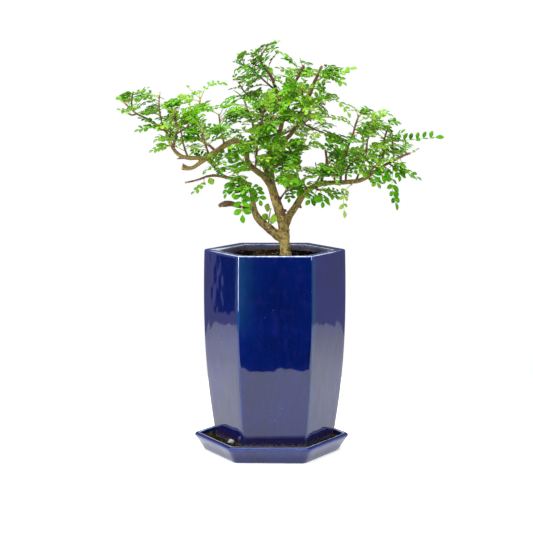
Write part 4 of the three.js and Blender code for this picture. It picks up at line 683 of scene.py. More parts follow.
def grow_leaves(fullness):
    """Every shoot's leaves: those of the solid model where it has them, and the rest of the foliage."""
    room = Room()
    for _name, route in WOOD:
        room.take_tube([spot(point) for point in route], [point[3] for point in route], "wood")
    for name, _count, stems, _placed in SHOOTS:
        for thick, thin, route in stems:
            room.take_tube([spot(point) for point in route], stem_radii(thick, thin, route), name)
    foliage = []
    for index, (name, _count, _stems, placed) in enumerate(SHOOTS):
        leaves = []
        for number, (pairs, size, rib) in enumerate(placed):
            seed = index * SEEDS.shoot + number
            tries = [placed_leaf(pairs, size, rib, bend, Draws(seed)) for bend in BENDS]
            leaves.append(room.settle(name, tries) or tries[0])
        foliage.append(leaves)
    for index, (name, count, stems, _placed) in enumerate(SHOOTS):
        numbers = [*range(count), *(step + 0.5 for step in range(math.ceil(count * fullness)))]
        for order, number in enumerate(numbers):
            seed = index * SEEDS.shoot + SEEDS.grown + order
            is_solid = number % LEAF_STRIDE == 1
            level = 0.0 if is_solid else FACING.level
            tries = (grown_leaf(stems, count, number, Draws(seed + attempt * SEEDS.attempt), level)
                     for attempt in range(LEAF_TRIES))
            in_crown = (leaf for leaf in tries if leaf.is_in_crown())
            if is_solid:
                leaf = room.settle(name, in_crown)
            else:
                leaf = next((leaf for leaf in in_crown if leaf.is_in_box()), None)
            if leaf:
                foliage[index].append(leaf)
    return foliage


# Shapes: everything is shaped in millimetres and scaled to metres when it is finished

def edges_of(geometry):
    return [item for item in geometry if isinstance(item, bmesh.types.BMEdge)]


def verts_of(geometry):
    return [item for item in geometry if isinstance(item, bmesh.types.BMVert)]


def new_mark(bm, name):
    """A number at each vertex, which finishes read by its name."""
    return bm.verts.layers.float.new(name)


def link_mesh(name, bm):
    """Puts a shape into the scene as an object."""
    mesh = bpy.data.meshes.new(name)
    bm.to_mesh(mesh)
    bm.free()
    made = bpy.data.objects.new(name, mesh)
    bpy.context.scene.collection.objects.link(made)
    return made


def finish_piece(name, bm, materials, slot, *nodes):
    """Makes a mesh piece that rides on the plant and stands for the given nodes of the solid model."""
    bmesh.ops.scale(bm, vec=(MM, MM, MM), verts=bm.verts)
    piece = link_mesh(name, bm)
    piece.data.shade_smooth()
    for material in materials:
        piece.data.materials.append(material)
    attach(piece, "root")
    if nodes:
        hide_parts(*nodes)
    return piece


def hexagon_ring(bm, radius, height, place, rounding=3.0, cuts=8):
    """A level hexagon with a corner towards +X, rounded corners, and flats cut up for smooth shading."""
    earlier = set(bm.verts)
    turned = place @ Matrix.Translation((0, 0, height)) @ Matrix.Rotation(math.pi / 6, 4, "Z")
    corners = bmesh.ops.create_circle(bm, cap_ends=True, segments=6, radius=radius, matrix=turned)["verts"]
    bmesh.ops.bevel(bm, geom=corners, affect="VERTICES", offset=rounding, offset_type="OFFSET", segments=6,
                    profile=0.5, material=-1)
    flats = [edge for edge in bm.edges if edge.verts[0] not in earlier and edge.calc_length() > radius / 2]
    bmesh.ops.subdivide_edges(bm, edges=flats, cuts=cuts)
    face = next(face for face in bm.faces if face.verts[0] not in earlier)
    ring = list(face.edges)
    bmesh.ops.delete(bm, geom=[face], context="FACES_ONLY")
    return ring


def loft(bm, ring, profile, place):
    """Extrudes a ring through a profile of corner radii and heights; gives back every ring."""
    rings = [ring]
    for (radius, height), (next_radius, next_height) in zip(profile, profile[1:]):
        grown = bmesh.ops.extrude_edge_only(bm, edges=rings[-1])["geom"]
        verts = verts_of(grown)
        ratio = next_radius / radius
        bmesh.ops.scale(bm, vec=(ratio, ratio, 1), space=place.inverted(), verts=verts)
        bmesh.ops.translate(bm, vec=(0, 0, next_height - height), verts=verts)
        new = set(verts)
        rings.append([edge for edge in edges_of(grown) if all(vert in new for vert in edge.verts)])
    return rings


def ease_rings(bm, rings, offset, segments):
    """Rounds the turns of a lofted profile."""
    for ring in rings:
        bmesh.ops.bevel(bm, geom=ring, affect="EDGES", offset=offset, offset_type="OFFSET",
                        segments=segments, profile=0.5, material=-1)


def smooth_route(points, radii, steps):
    """Rounds a route of points into a curve through them, with a radius at each new point."""
    if len(points) < 3:
        steps = max(2, steps - 1)
    padded = [points[0] * 2 - points[1], *points, points[-1] * 2 - points[-2]]
    route, girths = [], []
    for i in range(len(points) - 1):
        before, start, end, after = padded[i:i + 4]
        for step in range(steps):
            t = step / steps
            bend = (start * 2 + (end - before) * t + (before * 2 - start * 5 + end * 4 - after) * t ** 2
                    + (start * 3 - before - end * 3 + after) * t ** 3) / 2
            route.append(bend)
            girths.append(radii[i] + (radii[i + 1] - radii[i]) * t)
    return [*route, points[-1]], [*girths, radii[-1]]


def frames_along(route):
    """A placing matrix at each point of a route, carried along without twisting."""
    last = len(route) - 1
    across = None
    frames = []
    for i, point in enumerate(route):
        way = (route[min(i + 1, last)] - route[max(i - 1, 0)]).normalized()
        if across is None:
            across = Vector((0, 0, 1)) if abs(way.x) > 0.8 else Vector((1, 0, 0))
        across = (across - way * across.dot(way)).normalized()
        turn = Matrix((across, way.cross(across), way)).transposed()
        frames.append(Matrix.Translation(point) @ turn.to_4x4())
    return frames


def tube(bm, route, radii, sides):
    """A closed tapered tube along a route; gives back the rings of its vertices."""
    places = [frame_at @ Matrix.Scale(radius, 4) for frame_at, radius in zip(frames_along(route), radii)]
    verts = bmesh.ops.create_circle(bm, segments=sides, radius=1, matrix=places[0])["verts"]
    first = edges = list({edge for vert in verts for edge in vert.link_edges})
    rings = [verts]
    for before, after in zip(places, places[1:]):
        grown = bmesh.ops.extrude_edge_only(bm, edges=edges)["geom"]
        verts = verts_of(grown)
        new = set(verts)
        edges = [edge for edge in edges_of(grown) if all(vert in new for vert in edge.verts)]
        bmesh.ops.transform(bm, matrix=after @ before.inverted(), verts=verts)
        rings.append(verts)
    bmesh.ops.edgeloop_fill(bm, edges=first)
    bmesh.ops.edgeloop_fill(bm, edges=edges)
    return rings


def scatter_stones(bm, spots, draw, low, high):
    """Small broken stones between two sizes, each turned and stretched on its own, with its own tone."""
    tone = new_mark(bm, "tone")
    for spot_at in spots:
        size = low + (high - low) * draw() ** 2
        turn = Matrix.Rotation(draw(0, 6.28), 4, (draw() - 0.5, draw() - 0.5, draw() + 0.1))
        stretch = Matrix.Diagonal((size * draw(0.75, 1.25), size * draw(0.6, 1), size * 0.75, 1))
        place = Matrix.Translation(spot_at) @ turn @ stretch
        stone = bmesh.ops.create_icosphere(bm, subdivisions=1, radius=0.5, matrix=place)
        shade = draw()
        for vert in stone["verts"]:
            vert.co += (vert.co - spot_at) * (draw() - 0.5) * 0.4
            vert[tone] = shade


def hexagon_radius(x, y):
    """The corner radius of the hexagon, with a corner at +X, that passes through a place."""
    return max(abs(x * math.cos(turn) + y * math.sin(turn)) for turn in FACE_TURNS) / FLAT


def rough(point, size):
    """Smooth unevenness between -1 and 1, with lumps of a size in millimetres."""
    return noise.noise(point / size)


# Finishes

class Wire:
    """A shader value that takes part in sums."""

    def __init__(self, finish, socket):
        self.finish = finish
        self.socket = socket

    def maths(self, operation, first, second):
        return self.finish.node("ShaderNodeMath", {"operation": operation}, {0: first, 1: second})

    def __add__(self, other):
        return self.maths("ADD", self, other)

    def __sub__(self, other):
        return self.maths("SUBTRACT", self, other)

    def __rsub__(self, other):
        return self.maths("SUBTRACT", other, self)

    def __mul__(self, other):
        return self.maths("MULTIPLY", self, other)

    __radd__ = __add__
    __rmul__ = __mul__

    def __abs__(self):
        return self.maths("ABSOLUTE", self, 0)


class Finish:
    """A material, or the world, written as nodes."""

    def __init__(self, made, coordinates="Object"):
        self.made = made
        made.use_nodes = True
        self.tree = made.node_tree
        self.tree.nodes.clear()
        self.place = self.node("ShaderNodeTexCoord", output=coordinates)

    def node(self, kind, settings=None, inputs=None, output=0):
        """Any node: its settings first, then the values or links of its sockets."""
        made = self.tree.nodes.new(kind)
        for name, value in (settings or {}).items():
            if name == "stops":
                self.set_stops(made.color_ramp, value)
            else:
                setattr(made, name, value)
        for name, value in (inputs or {}).items():
            if isinstance(value, Wire):
                self.tree.links.new(value.socket, made.inputs[name])
            else:
                made.inputs[name].default_value = value
        return Wire(self, made.outputs[output]) if len(made.outputs) else None

    @staticmethod
    def set_stops(ramp, stops):
        while len(ramp.elements) < len(stops):
            ramp.elements.new(1)
        for element, (position, colour) in zip(ramp.elements, stops):
            element.position = position
            element.color = colour

    def attribute(self, name):
        return self.node("ShaderNodeAttribute", {"attribute_name": name}, output="Fac")

    def part(self, axis, vector=None):
        return self.node("ShaderNodeSeparateXYZ", None, {0: vector or self.place}, axis)

    def stretched(self, scale, vector=None):
        return self.node("ShaderNodeMapping", None, {"Vector": vector or self.place, "Scale": scale})

    def noise(self, scale, detail=3, vector=None):
        sockets = {"Vector": vector or self.place, "Scale": scale, "Detail": detail}
        return self.node("ShaderNodeTexNoise", None, sockets)

    def cells(self, scale, vector=None):
        sockets = {"Vector": vector or self.place, "Scale": scale}
        return self.node("ShaderNodeTexVoronoi", None, sockets, "Distance")

    def fade(self, value, low, high):
        """From 0 where a value is at low to 1 where it is at high."""
        sockets = {"Value": value, "From Min": low, "From Max": high}
        return self.node("ShaderNodeMapRange", {"interpolation_type": "SMOOTHSTEP"}, sockets)

    def ramp(self, value, stops):
        return self.node("ShaderNodeValToRGB", {"stops": stops}, {"Fac": value})

    def mix(self, share, first, second):
        return self.node("ShaderNodeMix", {"data_type": "RGBA"}, {0: share, 6: first, 7: second}, 2)

    def bump(self, height, distance, below=None):
        sockets = {"Height": height, "Distance": distance, "Strength": 1.0}
        if below:
            sockets["Normal"] = below
        return self.node("ShaderNodeBump", None, sockets)

    def surface(self, **sockets):
        named = {name.replace("_", " "): value for name, value in sockets.items()}
        self.node("ShaderNodeOutputMaterial", None, {0: self.node("ShaderNodeBsdfPrincipled", None, named)})
        return self.made


def new_finish(name):
    return Finish(bpy.data.materials.new(name))


def light_value(step):
    """The light of one colour step of 0 to 255, by the curve that screens use."""
    return step / 255 / 12.92 if step < 11 else ((step / 255 + 0.055) / 1.055) ** 2.4


def tint(red, green, blue):
    """A colour of 0 to 255 steps, as seen, in the light values that shaders take."""
    return light_value(red), light_value(green), light_value(blue), 1.0


def glaze_finish(name, look):
    """Cobalt glaze: deep where it pools, light where it thins over edges, with painted highlights along edges
    and corners, a painted shade round the foot, runs and pinholes.
    """
    finish = new_finish(name)
    runs = finish.noise(260, 4, finish.stretched((1, 1, 0.12)))
    clouds = finish.noise(16, 4)
    depth = finish.fade(runs * 0.4 + clouds * 0.6, 0.36, 0.62)
    body = finish.mix(depth, look.deep, look.body)
    bloom = finish.fade(finish.noise(130, 6, finish.stretched((1, 1, 0.6))), 0.5, 0.68)
    body = finish.mix(bloom * 0.25, body, look.violet)
    body = finish.mix(finish.fade(finish.noise(800, 2), 0.4, 0.62) * 0.1, body, look.edge)
    # Greenish bloom in the glaze, and greenish painted highlight lines by the front corners
    body = finish.mix(finish.attribute("teal") * (clouds * 0.8 + 0.4), body, look.teal)
    low = finish.attribute("low")
    # Painted shade and painted reflection of the dark grit, darkening the glaze towards the foot
    body = finish.mix(finish.fade(low, 0.12, 0.5) * 0.75, body, look.foot)
    # The thin mark holds thin glaze over edges and corners together with painted highlights there
    thin = finish.attribute("thin") + (runs - 0.5) * 0.3
    body = finish.mix(finish.fade(thin, 0.2, 0.6), body, look.edge)
    # From 0.62 up the pale body shows: partly thinnest glaze on the inner edges, partly painted highlights at
    # the corners and lip
    body = finish.mix(finish.fade(thin, 0.62, 0.86), body, look.bare_and_highlight)
    body = finish.mix(finish.attribute("matt") * (runs * 0.6 + 0.6), body, look.inside)
    pinholes = finish.fade(finish.cells(230), 0.1, 0.05) * finish.fade(finish.noise(30, 1), 0.58, 0.66)
    body = finish.mix(pinholes * 0.35, body, look.bare_and_highlight)
    waves = finish.bump(finish.noise(70, 1, finish.stretched((1, 1, 0.6))), 0.0003)
    normal = finish.bump(finish.noise(420, 2) - pinholes, 0.000006, waves)
    dust = finish.fade(low + (finish.noise(620, 4) - 0.5) * 1.5, 0.62, 0.95)
    body = finish.mix(dust * 0.8, body, look.dust)
    gloss = finish.fade(clouds, 0.3, 0.7) * 0.03 + 0.035 + dust * 0.6
    return finish.surface(Base_Color=body, Roughness=gloss, Normal=normal, IOR=look.gloss)


def bark_finish(look):
    """Thin furrowed bark, olive-tan on the trunk and purple-brown on young wood, tan where it was cut."""
    finish = new_finish("pepper_bark")
    along = finish.node("ShaderNodeAttribute", {"attribute_name": "bark"}, output="Vector")
    girth = finish.attribute("girth")
    cut = finish.attribute("cut")
    furrows = finish.noise(560, 5, finish.stretched((1, 1, 0.45), along))
    cracks = finish.noise(300, 4, finish.stretched((0.5, 0.5, 1.5)))
    plates = finish.noise(260, 4)
    specks = finish.noise(1300, 3)
    wide = finish.noise(60, 3)
    body = finish.mix(finish.fade(furrows * 0.5 + plates * 0.5, 0.4, 0.54), look.furrow, look.bark)
    body = finish.mix(finish.fade(cracks, 0.44, 0.34) * 0.6, body, look.furrow)
    body = finish.mix(finish.fade(finish.noise(130, 4), 0.52, 0.64) * 0.5, body, look.young)
    body = finish.mix(finish.fade(wide, 0.5, 0.66) * 0.6, body, look.moss)
    body = finish.mix(finish.fade(finish.noise(95, 2), 0.64, 0.72) * 0.7, body, look.ochre)
    limbs = finish.fade(girth + (wide - 0.5) * 3, 4.6, 2.8)
    body = finish.mix(limbs * 0.6, body, look.moss)
    young = finish.fade(girth + (wide - 0.5) * 2.4, 2.6, 1.2)
    body = finish.mix(young * 0.8, body, look.young)
    body = finish.mix(finish.fade(girth, 0.5, 0.1) * 0.6, body, look.dead)
    body = finish.mix(finish.fade(specks, 0.52, 0.66) * 0.5, body, look.pale)
    body = finish.mix(finish.fade(specks, 0.42, 0.3) * 0.8, body, look.furrow)
    knots = finish.fade(finish.cells(60, along), 0.2, 0.1)
    body = finish.mix(knots * 0.7, body, look.furrow)
    body = finish.mix(cut, body, finish.mix(finish.noise(700, 2), look.cut, look.pale))
    relief = furrows * 0.7 + plates * 0.5 + cracks * 0.5 + specks * 0.3 - knots * 0.5
    normal = finish.bump(relief, 0.0016)
    return finish.surface(Base_Color=body, Roughness=0.82, Normal=normal, IOR=1.25)


def twig_finish(look):
    """Twig skin: purple-brown and pale-dotted where it is woody, yellow-green where it is young."""
    finish = new_finish("twig_skin")
    age = finish.attribute("tone")
    grain = finish.noise(420, 3)
    woody = finish.mix(finish.fade(grain, 0.38, 0.62), look.young, look.bark)
    fresh = finish.mix(finish.fade(age, 0.72, 0.78), look.tip, look.stalk)
    body = finish.mix(finish.fade(age + (grain - 0.5) * 0.35, 0.4, 0.6), woody, fresh)
    dots = finish.fade(finish.cells(700), 0.2, 0.1)
    body = finish.mix(dots * 0.3, body, look.pale)
    return finish.surface(Base_Color=body, Roughness=0.55, Normal=finish.bump(grain + dots, 0.0002))


def leaf_finish(look):
    """Leaflets: each with its own green, a pale midrib, fine side veins, and pale patches above that are
    painted highlights.
    """
    finish = new_finish("pepper_leaf")
    tone = finish.attribute("tone")
    under = finish.attribute("under")
    mottle = finish.noise(300, 3)
    stops = [(0.0, look.shade), (0.35, look.leaf), (0.7, look.light), (1.0, look.tender)]
    body = finish.ramp(tone + (mottle - 0.5) * 0.22, stops)
    # Painted highlight: pale gloss patches on the upper sides of the leaflets
    painted_sheen = finish.fade(finish.noise(130, 2), 0.56, 0.7) * (1 - under)
    body = finish.mix(painted_sheen * 0.35, body, look.painted_sheen)
    sheet = finish.node("ShaderNodeUVMap", {"uv_map": "UVMap"})
    along = finish.part("X", sheet)
    across = finish.part("Y", sheet)
    from_rib = abs(across - 0.5)
    rib = finish.fade(from_rib, 0.07, 0.02)
    slant = (along - from_rib * 0.9) * 8
    veins = finish.fade(abs(slant.maths("FRACT", slant, 0) - 0.5), 0.13, 0.04)
    body = finish.mix(rib * 0.45 + veins * 0.12, body, look.light)
    body = finish.mix(under * 0.6, body, look.under)
    gloss = under * 0.25 + mottle * 0.12 + 0.2
    normal = finish.bump(veins * 0.4 + rib - mottle * 0.6, 0.00012)
    return finish.surface(Base_Color=body, Roughness=gloss, Normal=normal, IOR=1.13)


def stone_finish(name, dark, middle, light, roughness=0.9):
    """Loose grains whose tones run from dark to light, with speckled faces."""
    finish = new_finish(name)
    tone = finish.attribute("tone")
    speckle = finish.noise(1400, 3)
    stops = [(0.0, dark), (0.62, middle), (0.95, light)]
    body = finish.ramp(tone * 0.8 + (speckle - 0.3) * 0.5, stops)
    normal = finish.bump(speckle, 0.0004)
    return finish.surface(Base_Color=body, Roughness=roughness, Normal=normal, IOR=1.1)


# Where the soil is paler, in metres: its middle, and where it starts to darken and is darkest beside it
PALE_MIDDLE = -0.005
DARKENING_EDGE = (0.009, 0.018)


def soil_finish(look):
    """Dark crumbly potting soil with paler fibres, darker on both sides of a paler strip by the trunk."""
    finish = new_finish("potting_soil")
    lumps = finish.noise(260, 5)
    fibres = finish.fade(finish.noise(500, 2, finish.stretched((1, 0.25, 1))), 0.62, 0.7)
    body = finish.mix(finish.fade(lumps, 0.35, 0.7), look.soil_dark, look.soil_light)
    body = finish.mix(fibres * 0.6, body, look.fibre)
    across = finish.part("X")
    darkening = finish.fade(abs(across - PALE_MIDDLE), *DARKENING_EDGE)
    body = finish.mix(darkening * 0.85, body, look.soil_dark)
    normal = finish.bump(lumps + fibres, 0.0015)
    return finish.surface(Base_Color=body, Roughness=0.95, Normal=normal, IOR=1.05)


def pumice_finish(look):
    """White pumice with open pores."""
    finish = new_finish("white_pumice")
    pores = finish.fade(finish.cells(1500), 0.35, 0.2)
    grain = finish.noise(900, 3)
    body = finish.mix(pores * 0.5 + grain * 0.2, look.pumice, look.pore)
    return finish.surface(Base_Color=body, Roughness=0.85, Normal=finish.bump(grain - pores, 0.0005))


def netting_finish(look):
    """Matt moulded plastic with a fine grain."""
    finish = new_finish("drain_netting")
    grain = finish.noise(1800, 2)
    body = finish.mix(grain, look.netting, tint(52, 54, 56))
    return finish.surface(Base_Color=body, Roughness=grain * 0.2 + 0.5, Normal=finish.bump(grain, 0.0001))


# Pot and saucer

# The pot's rim: how far its sides end below it, its top drops inwards, and its edges are eased
POT_RIM = Plan(below=4, drop=0.9, ease=1.9)
# The saucer's rim: its shoulder, its upright face, its inner edge, and how its edges are eased
SAUCER_RIM = Plan(shoulder_in=2.2, shoulder_down=5.4, face=3.0, inner_in=0.6, inner_down=1.6, ease=2.1,
                  inner_ease=0.5)
# A bend in the saucer's side
SAUCER_SIDE = Plan(out=4, height=5.8)

# Corners are numbered anticlockwise from the one at +X
LEFT, FRONT_LEFT, FRONT_RIGHT = 3, 4, 5
# How thin the glaze is on each upright corner, and on edges at the front and at the back; these lighter lines
# are partly painted highlight, stronger at the front left corner and at the front
POT_CORNERS = (0.3, 0.3, 0.3, 0.3, 0.44, 0.2)
SAUCER_CORNERS = (0.2,) * 6
POT_EDGES = Plan(rim=(1.05, 0.3), lip=(0.9, 0.86), foot=(0.4, 0.4))
SAUCER_EDGES = Plan(rim=(0.5, 0.4), inside=(1.0, 0.8))
FRONT_TO_BACK = (-20, 20)
# Corners of the pot with a painted highlight in the pale body colour, with the heights where that starts and
# is full
HIGHLIGHT_CORNERS = {FRONT_LEFT: (138, 152), FRONT_RIGHT: (196, 202)}
CORNER_HIGHLIGHT = 0.84
# A painted highlight on the lip at the left corner, in the pale body colour
LIP_HIGHLIGHT = Plan(most=0.7, down=2.4, inwards=2, along=13, across=3)
# How far the painted shade round the foot and the dried splashes reach up from the grit
FOOT_SHADE_AND_SPLASH_REACH = 8
# Greenish marks: a greenish bloom in the glaze at the front left corner, and greenish painted highlights: a
# streak down that corner and a band by the front right one
BLOOM = Plan(right=0.3, left=0.04, rise=(118, 172), reach=11)
TEAL_HIGHLIGHT_STREAK = Plan(most=0.6, rise=(125, 145), reach=1.3)
TEAL_HIGHLIGHT_BAND = Plan(most=0.4, reach=4)


def share_between(value, low, high):
    """From 0 where a value is at low to 1 where it is at high."""
    return max(0.0, min(1.0, (value - low) / (high - low)))


def bell(distance, reach):
    """From 1 at a mark to nearly nothing at twice its reach."""
    return math.exp(-(distance / reach) ** 2)


def between(low, high, count):
    return [low + (high - low) * i / count for i in range(count + 1)]


def pot_radius(height):
    """Corner radius of the pot's outside at a height above its foot."""
    if height > POT.belly_height:
        rise = (height - POT.belly_height) / (POT.height - POT.belly_height)
        return POT.belly - POT.draw_in * rise ** 2
    fall = 1 - height / POT.belly_height
    return POT.belly - (POT.belly - POT.foot_radius) * fall ** POT.swell


def saucer_inside(height):
    """Corner radius of the saucer's inside at a height above the table."""
    rise = (height - SAUCER.floor) / (SAUCER.height - SAUCER.floor)
    return SAUCER.inside + rise * (SAUCER.rim - SAUCER.wall - SAUCER.inside)


def pot_place(height=POT.foot):
    return Matrix.Translation((POT.x, POT.y, height))


def saucer_place():
    return Matrix.Rotation(math.radians(SAUCER.turn), 4, "Z")


def nearest_corner(at):
    """The number of the hexagon's corner that a place is nearest, and how far round it lies from it."""
    turn = math.degrees(math.atan2(at.y, at.x)) % 360
    corner = round(turn / 60)
    return corner % 6, math.hypot(at.x, at.y) * math.radians(turn - corner * 60)


def mark_thin_glaze_and_highlights(bm, place, corners, edges, reach):
    """Stores where glaze runs thin, with painted highlights in the same mark: along upright corners, and
    round edges, which are each given as their radius, their height and how thin the glaze is there at the
    front and at the back."""
    thin = new_mark(bm, "thin")
    home = place.inverted()
    for vert in bm.verts:
        at = home @ vert.co
        corner, off_corner = nearest_corner(at)
        out = hexagon_radius(at.x, at.y)
        # Edges are marked more strongly at the front, where the lighter line is partly a painted highlight
        back = share_between(at.y, *FRONT_TO_BACK)
        thinness_and_highlight = [corners[corner] * bell(off_corner, reach)]
        for radius, height, most, most_back in edges:
            off_edge = math.hypot(out - radius, at.z - height)
            thinness_and_highlight.append((most + (most_back - most) * back) * bell(off_edge, 1.5 * reach))
        vert[thin] = max(thinness_and_highlight)


def mark_pot(bm, place, reach):
    """Stores nearness to the grit for the dried splashes and the painted shade round the foot, the matt
    inside, the greenish bloom and greenish painted highlights, and painted highlights in the pale body colour
    at the front corners and the left lip.
    """
    low = new_mark(bm, "low")
    matt = new_mark(bm, "matt")
    teal = new_mark(bm, "teal")
    thin = bm.verts.layers.float["thin"]
    home = place.inverted()
    lip = pot_radius(POT.height) - POT.lip
    for vert in bm.verts:
        at = home @ vert.co
        height = vert.co.z
        out = hexagon_radius(at.x, at.y)
        corner, off_corner = nearest_corner(at)
        # Nearness to the grit: drives the painted shade round the foot and the dried splashes
        vert[low] = math.exp(-max(0, height - GRIT_TOP) / FOOT_SHADE_AND_SPLASH_REACH)
        vert[matt] = 1.0 if out < lip + 0.2 and at.z < POT.height - 2 else 0.0
        if corner == FRONT_LEFT:
            most = BLOOM.right if off_corner > 0 else BLOOM.left
            bloom = most * share_between(height, *BLOOM.rise)
            # The streak is a greenish painted highlight down the front left corner
            streak = TEAL_HIGHLIGHT_STREAK.most * share_between(height, *TEAL_HIGHLIGHT_STREAK.rise)
            vert[teal] = bloom * bell(off_corner, BLOOM.reach) + streak * bell(off_corner, TEAL_HIGHLIGHT_STREAK.reach)
        # A greenish painted highlight band on the right face beside the front right corner
        if corner == FRONT_RIGHT and off_corner > 0:
            vert[teal] = TEAL_HIGHLIGHT_BAND.most * bell(off_corner, TEAL_HIGHLIGHT_BAND.reach)
        # Painted highlight in the pale body colour near the top of the front corners
        if corner in HIGHLIGHT_CORNERS:
            bare_and_highlight = CORNER_HIGHLIGHT * share_between(height, *HIGHLIGHT_CORNERS[corner])
            vert[thin] = max(vert[thin], bare_and_highlight * bell(off_corner, 0.8 * reach))
        # Painted highlight in the pale body colour on the lip at the left corner
        if corner == LEFT and at.z > POT.height - LIP_HIGHLIGHT.down:
            across = bell(lip + LIP_HIGHLIGHT.inwards - out, LIP_HIGHLIGHT.across)
            vert[thin] += LIP_HIGHLIGHT.most * across * bell(off_corner, LIP_HIGHLIGHT.along)


def pot_floor_edge(lift=0.0):
    """The inside's curve from the floor to the wall, as (corner radius, height)."""
    wall, ease = pot_radius(POT.floor) - POT.wall, POT.floor_ease
    return [(wall - 2 * ease, POT.floor + lift), (wall - ease / 2, POT.floor + ease)]


def add_pot(look):
    bm = bmesh.new()
    place = pot_place()
    top = POT.height
    lip = pot_radius(top) - POT.lip
    outside = [(pot_radius(height), height) for height in between(0, top - POT_RIM.below, 48)]
    under_lip = top - 2 * POT.lip_depth
    inside = [(pot_radius(height) - POT.wall, height) for height in between(20, under_lip, 16)]
    foot = POT.foot_radius - POT.foot_ring
    profile = [
        *outside,
        (pot_radius(top), top),
        (lip, top - POT_RIM.drop),
        (lip, top - POT.lip_depth),
        *reversed(inside),
        *reversed(pot_floor_edge()),
        (POT.drain, POT.floor),
        (POT.drain, POT.foot_recess),
        (foot - POT.foot_recess, POT.foot_recess),
        (foot, 0),
        (POT.foot_radius, 0),
    ]
    rings = loft(bm, hexagon_ring(bm, *profile[0], place, 1.6), profile, place)
    rim = len(outside)
    ease_rings(bm, rings[rim:rim + 2], POT_RIM.ease, 4)
    bmesh.ops.remove_doubles(bm, verts=bm.verts, dist=0.001)
    bmesh.ops.recalc_face_normals(bm, faces=bm.faces)
    edges = [
        (pot_radius(top), top, *POT_EDGES.rim),
        (lip + 1, top - 0.7, *POT_EDGES.lip),
        (*profile[0], *POT_EDGES.foot),
    ]
    mark_thin_glaze_and_highlights(bm, place, POT_CORNERS, edges, look.edge_reach)
    mark_pot(bm, place, look.edge_reach)
    return finish_piece("pot_body", bm, [glaze_finish("cobalt_glaze", look)], "glaze", "pot")


def add_saucer(look):
    bm = bmesh.new()
    place = saucer_place()
    height, floor, wall, rim = SAUCER.height, SAUCER.floor, SAUCER.wall, SAUCER.rim
    under_rim = height - SAUCER_RIM.inner_down
    profile = [
        (SAUCER.base, 0),
        (SAUCER.base + SAUCER.edge, SAUCER.edge),
        (SAUCER.base + SAUCER_SIDE.out, SAUCER_SIDE.height),
        (rim - SAUCER_RIM.shoulder_in, height - SAUCER_RIM.shoulder_down),
        (rim, height - SAUCER_RIM.face),
        (rim, height),
        (rim - wall + SAUCER_RIM.inner_in, height),
        (saucer_inside(under_rim), under_rim),
        (saucer_inside(floor + 5), floor + 5),
        (saucer_inside(floor + 1), floor + 1),
        (saucer_inside(floor) - 0.8, floor),
    ]
    rings = loft(bm, hexagon_ring(bm, *profile[0], place, 3.0), profile, place)
    bmesh.ops.edgeloop_fill(bm, edges=rings[0])
    bmesh.ops.edgeloop_fill(bm, edges=rings[-1])
    ease_rings(bm, rings[5:6], SAUCER_RIM.ease, 6)
    ease_rings(bm, rings[6:7], SAUCER_RIM.inner_ease, 3)
    bmesh.ops.recalc_face_normals(bm, faces=bm.faces)
    edges = [
        (rim, height - 2, *SAUCER_EDGES.rim),
        (rim - wall + 1, height, *SAUCER_EDGES.inside),
    ]
    mark_thin_glaze_and_highlights(bm, place, SAUCER_CORNERS, edges, look.edge_reach)
    return finish_piece("saucer_dish", bm, [glaze_finish("saucer_glaze", look)], "glaze", "saucer")


# What lies in them

# Sizes of loose stones, from the smallest to the largest
GRAIN_SIZES = (0.9, 2.4)
CRUMB_SIZES = (0.8, 3.4)
# How much the pumice chip is larger than the solid model's
PUMICE_GROWTH = 1.15
# How far the loose soil has settled under the solid model's top
SOIL_SUNK = 1.2
# Where the soil starts to darken beside its paler middle, and the share of crumbs kept there
CRUMB_FALLOFF = Plan(left=(-24, -16), right=(-12, -4), kept=0.15)
# How far crumbs keep from the middle of the trunk's foot
TRUNK_CLEARANCE = 6


